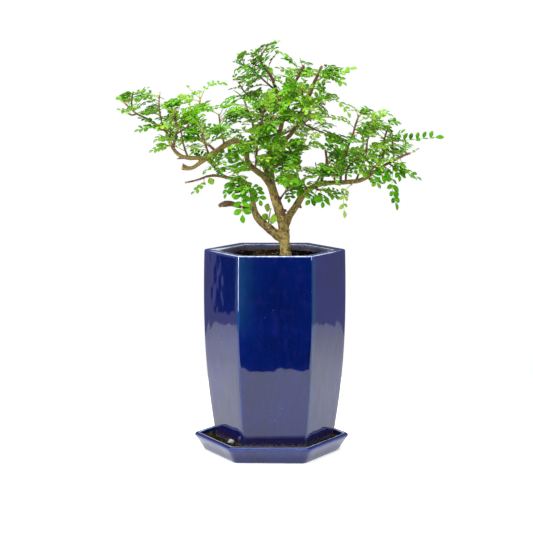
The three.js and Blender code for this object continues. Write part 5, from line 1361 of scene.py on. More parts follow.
def add_grit(look):
    bm = bmesh.new()
    place = saucer_place()
    low = SAUCER.floor + GAP
    shrink = 1.4 * GAP / FLAT
    foot = pot_radius(GRIT_TOP - POT.foot) + 2 * GAP
    outer = saucer_inside(GRIT_TOP) - shrink
    outer_low = saucer_inside(SAUCER.floor + 1) - shrink
    walls = [hexagon_ring(bm, radius, height, at, 3, 20) for radius, height, at in (
        (outer_low, low, place),
        (outer, GRIT_TOP, place),
        (foot, GRIT_TOP, pot_place(0)),
        (foot - 1.5, low, pot_place(0)),
    )]
    for first, second in zip(walls, [*walls[1:], walls[0]]):
        bmesh.ops.bridge_loops(bm, edges=[*first, *second])
    near_top = GRIT_TOP - 0.1
    top = [edge for edge in bm.edges if edge.calc_length() > 4
           and all(vert.co.z > near_top for vert in edge.verts)]
    bmesh.ops.subdivide_edges(bm, edges=top, cuts=5, use_grid_fill=True)
    for vert in bm.verts:
        if vert.co.z > near_top:
            wave = math.sin(vert.co.x / 5) * math.cos(vert.co.y / 5)
            vert.co.z += 0.5 * rough(vert.co, 3) + 0.5 * wave - 0.4
    bmesh.ops.recalc_face_normals(bm, faces=bm.faces)
    bed = stone_finish("grit_bed", look.grit_dark, look.grit, look.grit_light)
    finish_piece("grit_bed", bm, [bed], "grit", "saucer_grit")

    bm = bmesh.new()
    draw = Draws(SEEDS.grains)
    spots = []
    while len(spots) < look.pebbles:
        turn = draw(0, 2 * math.pi)
        out = draw(POT.foot_radius * FLAT, saucer_inside(GRIT_TOP))
        x, y = out * math.cos(turn), out * math.sin(turn)
        in_saucer = hexagon_radius(*(place.inverted() @ Vector((x, y, 0))).xy) < outer - 0.8
        if in_saucer and hexagon_radius(x - POT.x, y - POT.y) > foot + 0.6:
            spots.append(Vector((x, y, GRIT_TOP - 0.2 + draw(-0.3, 0.5))))
    scatter_stones(bm, spots, draw, *GRAIN_SIZES)
    grit = stone_finish("grit_grains", look.grit_dark, look.grit, look.grit_light)
    return finish_piece("grit_grains", bm, [grit], "grit")


def add_pumice(look):
    bm = bmesh.new()
    low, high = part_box("pumice_chip")
    middle = (Vector(low) + Vector(high)) / 2 / MM
    size = (Vector(high) - Vector(low)) / MM * PUMICE_GROWTH
    bmesh.ops.create_cube(bm, size=1, matrix=Matrix.Rotation(0.6, 4, (1, 1, 0)))
    bmesh.ops.subdivide_edges(bm, edges=bm.edges, cuts=9, use_grid_fill=True)
    for vert in bm.verts:
        ball = vert.co.normalized() * 0.5
        vert.co = vert.co.lerp(ball, 0.25)
        vert.co += ball * (0.6 * rough(vert.co + Vector((3, 1, 2)), 0.5) + 0.12 * rough(vert.co, 0.12))
    reach = [max(abs(vert.co[axis]) for vert in bm.verts) * 2 for axis in range(3)]
    fit = [size[axis] / reach[axis] for axis in range(3)]
    bmesh.ops.transform(bm, matrix=Matrix.Translation(middle) @ Matrix.Diagonal((*fit, 1)), verts=bm.verts)
    return finish_piece("pumice_stone", bm, [pumice_finish(look)], "pumice", "pumice_chip")


def soil_relief(x, y):
    """Low waves of the soil's top, from the pot's middle."""
    return 0.9 * math.sin(x / 8 + 1) * math.cos(y / 8) + 0.5 * math.sin((x + y) / 4.3)


def add_soil(look):
    bm = bmesh.new()
    place = pot_place()
    top = SOIL_TOP - POT.foot - SOIL_SUNK
    lip = pot_radius(POT.height) - POT.lip
    inset = GAP / FLAT
    walls = [
        *pot_floor_edge(GAP + 1.6),
        *((pot_radius(height) - POT.wall, height) for height in between(24, POT.height - 24, 8)),
        (lip, POT.height - POT.lip_depth),
        (lip, top - 1),
    ]
    surface = [(radius, top) for radius in reversed(between(2, lip - 0.8, 42))]
    profile = [(radius - inset, height) for radius, height in [*walls, *surface]]
    rings = loft(bm, hexagon_ring(bm, *profile[0], place, 2.4, 24), profile, place)
    bmesh.ops.edgeloop_fill(bm, edges=rings[0])
    bmesh.ops.edgeloop_fill(bm, edges=rings[-1])
    for vert in bm.verts:
        if vert.co.z > SOIL_TOP - SOIL_SUNK - 0.5:
            vert.co.z += soil_relief(vert.co.x - POT.x, vert.co.y - POT.y)
            lumps = Vector((rough(vert.co, 1.7), rough(vert.co + UP, 1.9), 1.7 * rough(vert.co, 2.2)))
            vert.co += 0.5 * lumps
    bmesh.ops.recalc_face_normals(bm, faces=bm.faces)
    finish_piece("soil_bed", bm, [soil_finish(look)], "soil", "soil")

    bm = bmesh.new()
    draw = Draws(SEEDS.crumbs)
    trunk = spot(WOOD[0][1][0])
    spots = []
    while len(spots) < look.crumbs:
        x, y = draw(-lip, lip), draw(-lip, lip)
        at = Vector((x + POT.x, y + POT.y, 0))
        middle_share = share_between(x, *CRUMB_FALLOFF.left) * share_between(-x, *CRUMB_FALLOFF.right)
        is_kept = draw() < CRUMB_FALLOFF.kept + (1 - CRUMB_FALLOFF.kept) * middle_share
        is_clear = (at.xy - trunk.xy).length > TRUNK_CLEARANCE
        if is_kept and is_clear and hexagon_radius(x, y) < lip - 1.5:
            at.z = SOIL_TOP - SOIL_SUNK + soil_relief(x, y) - 0.2
            spots.append(at)
    scatter_stones(bm, spots, draw, *CRUMB_SIZES)
    crumbs = stone_finish("soil_crumbs", look.soil_dark, look.soil_light, look.fibre, 0.95)
    return finish_piece("soil_crumbs", bm, [crumbs], "soil")


def add_netting(look):
    netting = netting_finish(look)
    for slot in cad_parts["drain_mesh"].material_slots:
        slot.material = netting


# Wood

CUT_ENDS = ("left_bough_spur", "front_limb", "front_limb_prong", "right_knob")
DEAD_WOOD = ("left_stub", "trunk_spur")
# How far the trunk's first points lean to the front, where its foot spreads
TRUNK_FOOT = (4.5, 4.5, 2.0)
# The bark's ridges and lumps, whose heights are for each millimetre of the wood's radius, in a range
RIDGES = Plan(height=0.12, size=1.5, squeeze=0.2)
LUMPS = Plan(height=0.06, size=6)
RELIEF_RADII = (1.8, 4)
# How much a cut end looks along its limb
END_ON = 0.55


def swept_limbs():
    """Every limb as a tube, and the stations along them: place, radius, way travelled and whether cut."""
    bm = bmesh.new()
    stations = []
    for name, route in WOOD:
        bends = [spot(point) for point in route]
        for point, forward in zip(bends if name == "trunk" else [], TRUNK_FOOT):
            point.y -= forward
        points, radii = smooth_route(bends, [point[3] for point in route], 6)
        tube(bm, points, radii, 14)
        travelled = 0
        for i, (place, radius) in enumerate(zip(frames_along(points), radii)):
            travelled += (points[i] - points[i - 1]).length if i else 0
            girth = 0 if name in DEAD_WOOD else radius
            stations.append((place, girth, travelled, name in CUT_ENDS and i == len(points) - 1))
    bmesh.ops.recalc_face_normals(bm, faces=bm.faces)
    return bm, stations


def grown_together(bm, grain):
    """The limbs joined into one skin, with a mesh of the given fineness."""
    limbs = link_mesh("limbs", bm)
    grown = limbs.modifiers.new("grown", "REMESH")
    grown.mode = "VOXEL"
    grown.voxel_size = grain
    whole = bpy.data.meshes.new_from_object(limbs.evaluated_get(bpy.context.evaluated_depsgraph_get()))
    bpy.data.objects.remove(limbs)
    bm = bmesh.new()
    bm.from_mesh(whole)
    for _pass in range(3):
        bmesh.ops.smooth_vert(bm, verts=bm.verts, factor=0.5, use_axis_x=True, use_axis_y=True,
                              use_axis_z=True)
    bm.normal_update()
    return bm


def add_wood(look):
    limbs, stations = swept_limbs()
    bm = grown_together(limbs, look.grain)
    bark = bm.verts.layers.float_vector.new("bark")
    girth = new_mark(bm, "girth")
    cut = new_mark(bm, "cut")
    tree = kdtree.KDTree(len(stations))
    for i, (place, *_rest) in enumerate(stations):
        tree.insert(place.translation, i)
    tree.balance()
    homes = [place.inverted() for place, *_rest in stations]
    for vert in bm.verts:
        near = tree.find(vert.co)[1]
        place, thickness, travelled, is_cut = stations[near]
        at = homes[near] @ vert.co
        at.z += travelled
        vert[bark] = at * MM
        vert[girth] = thickness
        end_on = vert.normal.dot(place.col[2].xyz)
        vert[cut] = 1.0 if is_cut and end_on > END_ON else 0.0
        ridge = rough(Vector((at.x, at.y, at.z * RIDGES.squeeze)), RIDGES.size)
        lump = rough(vert.co, LUMPS.size)
        relief = min(max(thickness, RELIEF_RADII[0]), RELIEF_RADII[1])
        vert.co += vert.normal * (RIDGES.height * ridge + LUMPS.height * lump) * relief
    return finish_piece("living_wood", bm, [bark_finish(look)], "bark", "trunk_and_branches")


# Leafy stems

# Leaflet shapes: how wide, how cupped and how far curled down, for a leaflet one unit long
LEAFLET_SHAPES = dict(
    leaflet_full=(0.32, 0.2, 0.10),
    leaflet_flat=(0.28, 0.08, 0.05),
    leaflet_hollow=(0.3, 0.36, 0.16),
)
ROUND_LEAFLET = (0.42, 0.12, 0.08)
# How far a blade's top and underside stand off its middle
TOP_LIFT, UNDER_DROP = 0.012, 0.014
# A rib's radius at shares of its length
RIB = {0: 0.42, 0.25: 0.36, 0.5: 0.32, 0.72: 0.28, 0.9: 0.2}
STALK_RADII = (0.4, 0.34)
RIB_TONE = 0.8
# Leaflets on a rib: where pairs start and stand in their step, the first pair's size, how each leans,
# rises, grows and differs in tone, and the one at the tip
PAIRS = Plan(start=0.22, stand=0.35, first=0.8, lean=(0.38, 0.68), rise=(-0.12, 0.32), length=(0.94, 1.12),
             spread=0.13, end=0.2, longest=8.5, end_tone=0.05)
# How far a leaflet's face is turned off the leaf's
LOOSE_FACE = Plan(side=(-0.4, 0.4), way=(-0.25, 0.25), end=(-0.2, 0.2))
# A leaf of one round leaflet on a stalk, as shares of its length, and the way that its face looks
ROUND_LEAF = Plan(stalk=0.16, leaflet=0.84, aside=(-0.3, 0.3), up=0.35, tone=0.75)
SPINE = Plan(length=(1.0, 2.0), foot=0.36, tip=0.04, forward=0.4, down=0.3, tone=0.35)
# Buds at a leaf's foot, and at a twig's tip, whose size is for each millimetre of the twig's radius
FOOT_BUD = Plan(size=(1.5, 1.3, 1.7), out=0.4, tone=0.55)
TIP_BUD = Plan(size=(2.6, 2.6, 3.4), tone=0.7)
# A stem whose tip is thicker than this is carried on by another, without a bud
CARRIED_ON = 0.95
# How far a twig's foot reaches into the wood
TWIG_ROOT = 0.8
KNOTS = (0.94, 1.12)
# The share of the rule's leaves with three pairs, and the tones of a shoot, and of a leaf against it
THREE_PAIRS = 0.35
SHOOT_TONES = (0.15, 0.5)
LEAF_TONES = (-0.25, 0.35)
# Soft shoots whose stems are green nearly from the foot, and their woody share
GREEN_SHOOTS = ("crotch_sprout",)
GREEN_WOODY = 0.1
# Tones of the placed leaves, from old and dark to new and pale
PLACED_TONES = dict(
    right_tassel=0.1, right_pendant=0.78, right_skirt=0.12, left_curtain=0.2, right_tower=0.12,
    right_spire=0.5, left_low=0.6, right_mast=0.72, left_screen=0.2, apex=0.55, right_end=0.15,
)
# How far the leaflets of a shoot's first leaf are folded up
FOLDS = dict(right_tower=0.8)


def leaflet_mesh(name, fullness, cup, curl):
    """A leaflet one unit long along +X: an egg-shaped blade, thin to the rim, creased along its midrib."""
    bm = bmesh.new()
    sheet = bm.loops.layers.uv.new("UVMap")
    under = new_mark(bm, "under")
    bmesh.ops.create_grid(bm, x_segments=6, y_segments=4, size=1, calc_uvs=True)
    rims = {}
    for vert in bm.verts:
        along = (1 - math.cos(math.pi * (vert.co.x + 1) / 2)) / 2
        aside = vert.co.y
        spread = fullness * max(0.0, math.sin(math.pi * along ** 1.18)) ** 0.72
        rims[vert] = abs(aside) == 1 or spread < 0.02
        rise = cup * aside * aside * spread - curl * along * along + 0.03 * math.sin(math.pi * along)
        vert.co = Vector((along, aside * spread, rise))
    for face in bm.faces:
        for loop in face.loops:
            uv = loop[sheet].uv
            loop[sheet].uv = ((1 - math.cos(math.pi * uv.x)) / 2, uv.y)
    copied = bmesh.ops.duplicate(bm, geom=[*bm.verts, *bm.edges, *bm.faces])
    twins = copied["vert_map"]
    faces = [item for item in copied["geom"] if isinstance(item, bmesh.types.BMFace)]
    bmesh.ops.reverse_faces(bm, faces=faces)
    for vert, on_rim in rims.items():
        twins[vert][under] = 1
        if not on_rim:
            vert.co.z += TOP_LIFT
            twins[vert].co.z -= UNDER_DROP
    bmesh.ops.remove_doubles(bm, verts=bm.verts, dist=0.0005)
    mesh = bpy.data.meshes.new(name)
    bm.to_mesh(mesh)
    bm.free()
    return mesh


def add_leaflet(bm, template, root, way, face_way, length, shade):
    """Sets one leaflet on a rib."""
    first = len(bm.verts)
    bm.from_mesh(template)
    bm.verts.ensure_lookup_table()
    tone = bm.verts.layers.float["tone"]
    new = bm.verts[first:]
    side = face_way.cross(way).normalized()
    turn = Matrix((way, side, way.cross(side))).transposed().to_4x4()
    bmesh.ops.transform(bm, matrix=Matrix.Translation(root) @ turn @ Matrix.Scale(length, 4), verts=new)
    for vert in new:
        vert[tone] = shade


def dress_in_skin(bm, verts, shade):
    """Gives vertices the twigs' finish and a tone."""
    tone = bm.verts.layers.float["tone"]
    for vert in verts:
        vert[tone] = shade
        for face in vert.link_faces:
            face.material_index = 1


def add_bud(bm, place, size, shade):
    matrix = Matrix.Translation(place) @ Matrix.Diagonal((*size, 1))
    bud = bmesh.ops.create_icosphere(bm, subdivisions=1, radius=0.5, matrix=matrix)
    dress_in_skin(bm, bud["verts"], shade)


def add_simple_leaf(bm, leaf, template, draw):
    """One round leaflet on its own stalk, turned to the front."""
    foot, way, _side, _over = leaf.at(ROUND_LEAF.stalk)
    face_way = Vector((draw(*ROUND_LEAF.aside), -1, ROUND_LEAF.up)).normalized()
    for ring in tube(bm, [leaf.at(0)[0], foot], STALK_RADII, 4):
        dress_in_skin(bm, ring, RIB_TONE)
    add_leaflet(bm, template, foot, way, face_way, ROUND_LEAF.leaflet * leaf.length, ROUND_LEAF.tone)


def add_leaf(bm, leaf, pairs, shade, templates, draw, fold):
    """A rib with its pairs of leaflets, folded up by a share, and the one at its tip."""
    rib = [leaf.at(share)[0] for share in RIB]
    for ring in tube(bm, rib, list(RIB.values()), 4):
        dress_in_skin(bm, ring, RIB_TONE)
    start = PAIRS.start
    end_length = max(REACH * leaf.size, min(PAIRS.end * leaf.length, PAIRS.longest))
    end = 1 - end_length / leaf.length
    step = (end - start) / max(pairs, 1)
    for i in range(pairs):
        point, way, side, over = leaf.at(start + (i + PAIRS.stand) * step)
        reach = REACH * leaf.size * (PAIRS.first if i == 0 else 1)
        for sign in (1, -1):
            lean = draw(*PAIRS.lean)
            rise = over * (draw(*PAIRS.rise) + fold)
            aim = (side * sign * math.cos(lean) + way * math.sin(lean) + rise).normalized()
            face_way = (over + side * draw(*LOOSE_FACE.side) + way * draw(*LOOSE_FACE.way)).normalized()
            length = reach / math.cos(lean) * draw(*PAIRS.length)
            template = templates[int(draw() * len(templates)) % len(templates)]
            tone = shade + draw(-PAIRS.spread, PAIRS.spread)
            add_leaflet(bm, template, point, aim, face_way, length, tone)
    point, way, _side, over = leaf.at(end)
    face_way = (over + way * draw(*LOOSE_FACE.end)).normalized()
    add_leaflet(bm, templates[0], point, way, face_way, end_length, shade + PAIRS.end_tone)


def add_spines(bm, leaf, draw):
    """The short paired spines and the bud that sit under a leaf's foot."""
    point, way, side, over = leaf.at(0)
    for sign in (1, -1):
        aim = (side * sign + way * SPINE.forward - over * SPINE.down).normalized()
        length = draw(*SPINE.length)
        turn = aim.to_track_quat("Z", "Y").to_matrix().to_4x4()
        place = Matrix.Translation(point + aim * length / 2) @ turn
        spine = bmesh.ops.create_cone(bm, cap_ends=True, segments=4, radius1=SPINE.foot,
                                      radius2=SPINE.tip, depth=length, matrix=place)
        dress_in_skin(bm, spine["verts"], SPINE.tone)
    add_bud(bm, point + way * FOOT_BUD.out, FOOT_BUD.size, FOOT_BUD.tone)


def add_twig(bm, thick, thin, route, woody, draw):
    """A stem's own wood, from reddish bark at its thick end to green skin at its tip."""
    points, radii = smooth_route([spot(point) for point in route], stem_radii(thick, thin, route), 4)
    points[0] = points[0] - (points[1] - points[0]).normalized() * TWIG_ROOT
    rings = tube(bm, points, radii, 7)
    for i, ring in enumerate(rings):
        fresh = max(0, i / (len(rings) - 1) - woody) / (1 - woody) if thin < CARRIED_ON else 0
        knot = draw(*KNOTS)
        for vert in ring:
            vert.co = points[i] + (vert.co - points[i]) * knot
        dress_in_skin(bm, ring, max(0, 1.15 - radii[i]) * 0.3 + fresh * 0.75)
    if radii[-1] <= CARRIED_ON:
        add_bud(bm, points[-1], [radii[-1] * size for size in TIP_BUD.size], TIP_BUD.tone)


def add_foliage(look):
    templates = [leaflet_mesh(name, *shape) for name, shape in LEAFLET_SHAPES.items()]
    simple = leaflet_mesh("leaflet_round", *ROUND_LEAFLET)
    materials = [leaf_finish(look), twig_finish(look)]
    for index, ((name, _count, stems, placed), leaves) in enumerate(zip(SHOOTS, grow_leaves(look.fullness))):
        draw = Draws(SEEDS.dress + index)
        bm = bmesh.new()
        new_mark(bm, "tone")
        new_mark(bm, "under")
        bm.loops.layers.uv.new("UVMap")
        for thick, thin, route in stems:
            add_twig(bm, thick, thin, route, GREEN_WOODY if name in GREEN_SHOOTS else look.woody, draw)
        shoot_shade = draw(*SHOOT_TONES)
        for number, leaf in enumerate(leaves):
            is_placed = number < len(placed)
            pairs = leaf.pairs if is_placed else 3 + (draw() > THREE_PAIRS)
            shade = shoot_shade + draw(*LEAF_TONES)
            if is_placed:
                shade = PLACED_TONES.get(name, shade)
            if pairs:
                fold = FOLDS.get(name, 0) if number == 0 else 0
                add_leaf(bm, leaf, pairs, shade, templates, draw, fold)
                add_spines(bm, leaf, draw)
            else:
                add_simple_leaf(bm, leaf, simple, draw)
        finish_piece(f"spray_{name}", bm, materials, "leaf", f"leafy_{name}")
    for template in (*templates, simple):
        bpy.data.meshes.remove(template)


# Studio, in metres

CAMERA = Plan(lens=106.65, film=36, tilt=6.93, far=20)
# How far the table lies under the saucer's foot
TABLE_DROP = 0.0001
WHITE = tint(255, 255, 255)
PAPER_FIBRE = tint(250, 250, 250)
CLOTH_TINTS = (tint(6, 6, 8), tint(18, 18, 22))
# The dark flag that the glaze mirrors: its height, its middle, and how far it is turned, in degrees
FLAG = Plan(height=0.094, middle=(-0.3765, 0.146, 0.133), turn=60)
# The room that the glaze mirrors: its light rises towards the back and falls off behind
ROOM = Plan(rise=(-0.15, 0.35), fall=(0.7, 0.92), lost=0.6, least=0.015)
# Where the lights aim
TREE = (0, 0, 0.25)
POT_MIDDLE = (0, 0, 0.1)
# Soft lights: name, size, the setting that holds the power and the share of it, place, and aim
SOFT_LIGHTS = [
    ("overhead_light", (1.5, 1.1), "key", 1, (-0.15, -0.2, 1.55), POT_MIDDLE),
    ("front_light", (1.3, 0.6), "front", 1, (-0.3, -1.9, 1.5), TREE),
    ("left_strip", (0.16, 0.75), "strips", 1, (-0.95, -0.62, 0.5), TREE),
    ("right_strip", (0.16, 0.75), "strips", 0.7, (0.98, -0.66, 0.5), TREE),
]


def add_table(look):
    """The white paper, which looks darker at the far edge in the glaze."""
    bm = bmesh.new()
    bmesh.ops.create_grid(bm, x_segments=8, y_segments=8, size=1)
    front, back = look.table_front, look.table_back
    bmesh.ops.scale(bm, vec=(look.table_side, (front + back) / 2, 1), verts=bm.verts)
    bmesh.ops.translate(bm, vec=(0, (back - front) / 2, -TABLE_DROP), verts=bm.verts)
    table = link_mesh("table_top", bm)
    paper = new_finish("white_paper")
    grain = paper.mix(paper.noise(3), look.paper, PAPER_FIBRE)
    backward = paper.part("Y")
    unseen = 1 - paper.node("ShaderNodeLightPath", output="Is Camera Ray")
    glow = paper.mix(paper.fade(backward, 0.08, look.table_back) * unseen, grain, look.far_paper)
    table.data.materials.append(paper.surface(Base_Color=grain, Roughness=0.7, Emission_Color=glow,
                                              Emission_Strength=look.paper_glow))


def add_room(look):
    """White to the camera, even light all round, and a room that the glaze mirrors."""
    sky = Finish(bpy.data.worlds.new("white_studio"), "Generated")
    seen = sky.node("ShaderNodeLightPath", output="Is Camera Ray")
    mirrored = sky.node("ShaderNodeLightPath", output="Is Glossy Ray")
    backward = sky.part("Y")
    behind = 1 - sky.fade(backward, *ROOM.fall) * ROOM.lost
    room = sky.fade(backward, *ROOM.rise) * behind * look.room_glow + ROOM.least
    strength = seen + (1 - seen) * (mirrored * room + (1 - mirrored) * look.fill)
    walls = sky.mix(mirrored * (1 - seen), WHITE, look.room)
    shade = sky.node("ShaderNodeBackground", None, {"Color": walls, "Strength": strength})
    sky.node("ShaderNodeOutputWorld", None, {0: shade})
    bpy.context.scene.world = sky.made


def add_flag(look):
    """A dark flag at the left, which only the glaze shows."""
    bm = bmesh.new()
    bmesh.ops.create_grid(bm, x_segments=2, y_segments=6, size=0.5)
    bmesh.ops.scale(bm, vec=(look.flag_width, FLAG.height, 1), verts=bm.verts)
    upright = Matrix.Rotation(math.radians(FLAG.turn), 4, "Z") @ Matrix.Rotation(math.radians(90), 4, "X")
    bmesh.ops.transform(bm, matrix=Matrix.Translation(FLAG.middle) @ upright, verts=bm.verts)
    flag = link_mesh("dark_flag", bm)
    cloth = new_finish("black_cloth")
    weave = cloth.mix(cloth.noise(120), *CLOTH_TINTS)
    flag.data.materials.append(cloth.surface(Base_Color=weave, Roughness=1.0))
    flag.visible_camera = False


def add_soft_light(name, size, power, place, aim):
    light = bpy.data.lights.new(name, "AREA")
    light.shape = "RECTANGLE"
    light.size, light.size_y = size
    light.energy = power
    lamp = bpy.data.objects.new(name, light)
    lamp.location = place
    lamp.rotation_euler = (Vector(aim) - Vector(place)).to_track_quat("-Z", "Y").to_euler()
    bpy.context.scene.collection.objects.link(lamp)


def add_camera():
    """The camera at the eye, looking slightly down."""
    camera = bpy.data.cameras.new("camera")
    camera.lens = CAMERA.lens
    camera.sensor_width = CAMERA.film
    camera.clip_end = CAMERA.far
    view = bpy.data.objects.new("camera", camera)
    view.location = EYE * MM
    view.rotation_euler = (math.radians(90 - CAMERA.tilt), 0, 0)
    bpy.context.scene.collection.objects.link(view)
    bpy.context.scene.camera = view
    bpy.context.scene.view_settings.view_transform = "Standard"


def add_studio(look):
    add_table(look)
    add_room(look)
    add_flag(look)
    for name, size, setting, share, place, aim in SOFT_LIGHTS:
        add_soft_light(name, size, getattr(look, setting) * share, place, aim)
    add_camera()


# Settings a user would change

def colour(name, description, *rgb):
    return FloatVectorProperty(name=name, description=description, subtype="COLOR", size=4, min=0, max=1,
                               default=tint(*rgb))


def amount(name, description, default, low=0, high=100, **more):
    return FloatProperty(name=name, description=description, default=default, min=low, max=high, **more)


class GlazeLook(bpy.types.PropertyGroup):
    deep: colour("Deep glaze", "Where the glaze pools thickest", 2, 10, 58)
    body: colour("Glaze", "The glaze over the flat sides", 2, 17, 78)
    violet: colour("Violet bloom", "Faint violet clouds in the glaze", 30, 26, 92)
    # Greenish colour: the glaze's bloom, and painted highlight lines by the front corners
    teal: colour("Teal bloom", "A greenish bloom in the glaze", 30, 84, 122)
    # Thin glaze colour: also the colour of painted highlight lines along edges and corners
    edge: colour("Thin glaze", "Where the glaze runs thin over edges", 14, 50, 126)
    # Pale body colour: in pinholes and the thinnest glaze, and the colour of painted highlights
    bare_and_highlight: colour("Bare body", "Where the pale body shows through the thinnest glaze", 218, 226, 236)
    inside: colour("Inside", "The thin wash on the inside", 92, 90, 110)
    # Foot colour: painted shade and painted reflection of the dark grit round the foot
    foot: colour("Foot", "The glaze round the foot, dulled by splashes", 36, 28, 64)
    dust: colour("Dried dirt", "Splashes dried on the foot", 84, 76, 74)
    gloss: amount("Refraction", "How strongly the glaze mirrors", 1.52, 1, 2.5)
    edge_reach: amount("Thin band", "Reach of the thin glaze off an edge, in millimetres", 1.2, 0.1, 6)


class GroundLook(bpy.types.PropertyGroup):
    # The darkest soil colour, which also covers both sides of the paler middle strip
    soil_dark: colour("Damp soil", "The darkest soil", 6, 4, 2)
    soil_light: colour("Dry soil", "Drier crumbs of soil", 54, 40, 24)
    fibre: colour("Fibres", "Pale bits in the soil", 128, 104, 60)
    grit_dark: colour("Dark grit", "The darkest grains", 16, 13, 12)
    grit: colour("Grit", "Most grains", 38, 32, 27)
    grit_light: colour("Olive grit", "The lightest grains", 112, 102, 66)
    pumice: colour("Pumice", "The pumice chip", 240, 240, 236)
    pore: colour("Pores", "Shade inside the pumice's pores", 170, 168, 160)
    netting: colour("Netting", "The drain netting", 26, 28, 30)
    crumbs: IntProperty(name="Crumbs", description="Loose crumbs on the soil", default=900, min=0, max=3000)
    pebbles: IntProperty(name="Grains", description="Loose grains on the grit", default=1500, min=0, max=5000)


class WoodLook(bpy.types.PropertyGroup):
    bark: colour("Bark", "Bark of the trunk and limbs", 190, 165, 98)
    furrow: colour("Furrows", "The bottoms of the bark's furrows", 78, 56, 32)
    moss: colour("Algae", "A green bloom on old bark", 112, 104, 42)
    ochre: colour("Ochre patches", "Patches where the bark has rubbed off", 206, 140, 48)
    pale: colour("Pale dots", "Breathing pores on the bark", 216, 196, 140)
    young: colour("Young bark", "Purple-brown bark of thin limbs", 112, 80, 66)
    cut: colour("Cut wood", "Ends where limbs were cut back", 206, 176, 128)
    dead: colour("Dead wood", "Snags that have died back", 70, 46, 40)
    grain: amount("Fineness", "Size of the wood's mesh, in millimetres", 0.62, 0.3, 2)


class LeafLook(bpy.types.PropertyGroup):
    shade: colour("Darkest leaf", "Old leaflets in the shade", 20, 102, 0)
    leaf: colour("Leaf", "Most leaflets", 84, 166, 0)
    light: colour("Light leaf", "Leaflets in their first summer", 136, 188, 50)
    tender: colour("Tender leaf", "The newest leaflets", 170, 198, 78)
    # Painted highlight colour on the leaflets' upper sides
    painted_sheen: colour("Sheen", "Where leaflets catch the light", 160, 206, 112)
    under: colour("Underside", "The leaflets' undersides", 140, 176, 66)
    stalk: colour("Stalk", "Leaf stalks", 166, 196, 60)
    tip: colour("Twig tips", "The ends of the twigs", 176, 140, 84)
    bark: colour("Twig", "Woody twigs", 136, 92, 78)
    young: colour("Twig shade", "The darker patches on twigs", 92, 56, 50)
    pale: colour("Twig dots", "Pale pores on twigs", 180, 150, 118)
    woody: amount("Woody share", "Share of each twig that is woody", 0.82, 0, 0.95)
    fullness: amount("Fullness", "More leaves by the rule, as a share of their number", 1, 0, 2)


class StudioLook(bpy.types.PropertyGroup):
    paper: colour("Paper", "The white paper under the pot", 240, 240, 240)
    far_paper: colour("Far paper", "How the paper's far edge looks in the glaze", 40, 30, 90)
    room: colour("Room", "The room's walls as the glaze mirrors them", 226, 222, 255)
    table_front: amount("Table front", "From the pot to the front edge", 0.352, 0.1, 2, unit="LENGTH")
    table_back: amount("Table back", "From the pot to the back edge", 0.385, 0.1, 2, unit="LENGTH")
    table_side: amount("Table side", "From the pot to each side edge", 0.71, 0.1, 3, unit="LENGTH")
    paper_glow: amount("Paper glow", "Light that the paper gives off itself", 0.6)
    key: amount("Overhead light", "Power of the overhead soft light, in watts", 26, unit="POWER")
    front: amount("Front light", "Power of the front soft light, in watts", 18, unit="POWER")
    strips: amount("Strip lights", "Power of the left upright strip, in watts", 6, unit="POWER")
    fill: amount("Fill", "Strength of the light from all round", 0.5)
    room_glow: amount("Room glow", "How bright the room behind looks in the glaze", 0.53)
    flag_width: amount("Flag width", "Width of the dark flag", 0.05, 0.01, 0.5, unit="LENGTH")


# Operators

class BONSAI_OT_saucer(bpy.types.Operator):
    """Add the glazed drip saucer"""
    bl_idname = "bonsai.saucer"
    bl_label = "Saucer"

    def execute(self, context):
        add_saucer(context.scene.bonsai_glaze)
        return {"FINISHED"}


class BONSAI_OT_pot(bpy.types.Operator):
    """Add the tall six-sided pot"""
    bl_idname = "bonsai.pot"
    bl_label = "Pot"

    def execute(self, context):
        add_pot(context.scene.bonsai_glaze)
        return {"FINISHED"}


class BONSAI_OT_grit(bpy.types.Operator):
    """Add the grit in the saucer and the pumice chip on it"""
    bl_idname = "bonsai.grit"
    bl_label = "Grit"

    def execute(self, context):
        add_grit(context.scene.bonsai_ground)
        add_pumice(context.scene.bonsai_ground)
        return {"FINISHED"}


class BONSAI_OT_soil(bpy.types.Operator):
    """Add the potting soil and finish the netting under it"""
    bl_idname = "bonsai.soil"
    bl_label = "Soil"

    def execute(self, context):
        add_soil(context.scene.bonsai_ground)
        add_netting(context.scene.bonsai_ground)
        return {"FINISHED"}


class BONSAI_OT_wood(bpy.types.Operator):
    """Add the trunk and branches"""
    bl_idname = "bonsai.wood"
    bl_label = "Wood"

    def execute(self, context):
        add_wood(context.scene.bonsai_wood)
        return {"FINISHED"}


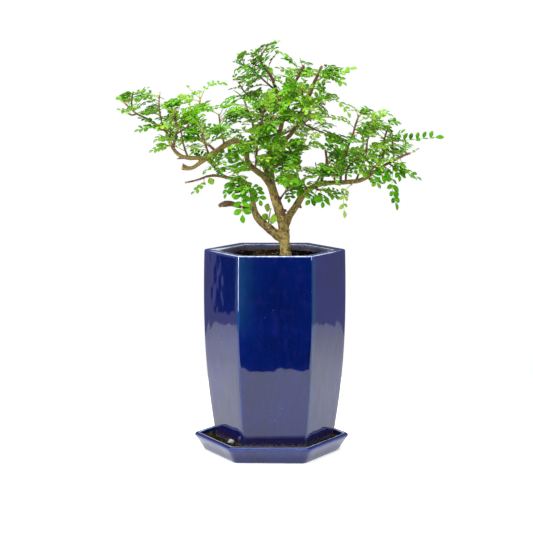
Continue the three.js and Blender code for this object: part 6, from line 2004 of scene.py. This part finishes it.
class BONSAI_OT_foliage(bpy.types.Operator):
    """Add every leafy stem"""
    bl_idname = "bonsai.foliage"
    bl_label = "Leafy stems"

    def execute(self, context):
        add_foliage(context.scene.bonsai_leaf)
        return {"FINISHED"}


class BONSAI_OT_studio(bpy.types.Operator):
    """Add the table, the lights and the camera"""
    bl_idname = "bonsai.studio"
    bl_label = "Studio"

    def execute(self, context):
        add_studio(context.scene.bonsai_studio)
        return {"FINISHED"}


LOOKS = {
    "bonsai_glaze": GlazeLook,
    "bonsai_ground": GroundLook,
    "bonsai_wood": WoodLook,
    "bonsai_leaf": LeafLook,
    "bonsai_studio": StudioLook,
}
OPERATORS = (
    BONSAI_OT_studio,
    BONSAI_OT_saucer,
    BONSAI_OT_pot,
    BONSAI_OT_grit,
    BONSAI_OT_soil,
    BONSAI_OT_wood,
    BONSAI_OT_foliage,
)


class BONSAI_PT_panel(bpy.types.Panel):
    """Lists the plant's pieces and their settings"""
    bl_label = "Japanese Pepper Bonsai"
    bl_idname = "BONSAI_PT_panel"
    bl_space_type = "VIEW_3D"
    bl_region_type = "UI"
    bl_category = "Bonsai"

    def draw(self, context):
        for operator in OPERATORS:
            self.layout.operator(operator.bl_idname)
        for name in LOOKS:
            box = self.layout.box()
            look = getattr(context.scene, name)
            for setting in look.__annotations__:
                box.prop(look, setting)


def register():
    for name, group in LOOKS.items():
        bpy.utils.register_class(group)
        setattr(bpy.types.Scene, name, PointerProperty(type=group))
    for made in (*OPERATORS, BONSAI_PT_panel):
        bpy.utils.register_class(made)


def unregister():
    for made in (BONSAI_PT_panel, *reversed(OPERATORS)):
        bpy.utils.unregister_class(made)
    for name, group in LOOKS.items():
        delattr(bpy.types.Scene, name)
        bpy.utils.unregister_class(group)


def main():
    register()
    bpy.ops.bonsai.studio()
    bpy.ops.bonsai.saucer()
    bpy.ops.bonsai.pot()
    bpy.ops.bonsai.grit()
    bpy.ops.bonsai.soil()
    bpy.ops.bonsai.wood()
    bpy.ops.bonsai.foliage()


if __name__ == "__main__":
    main()
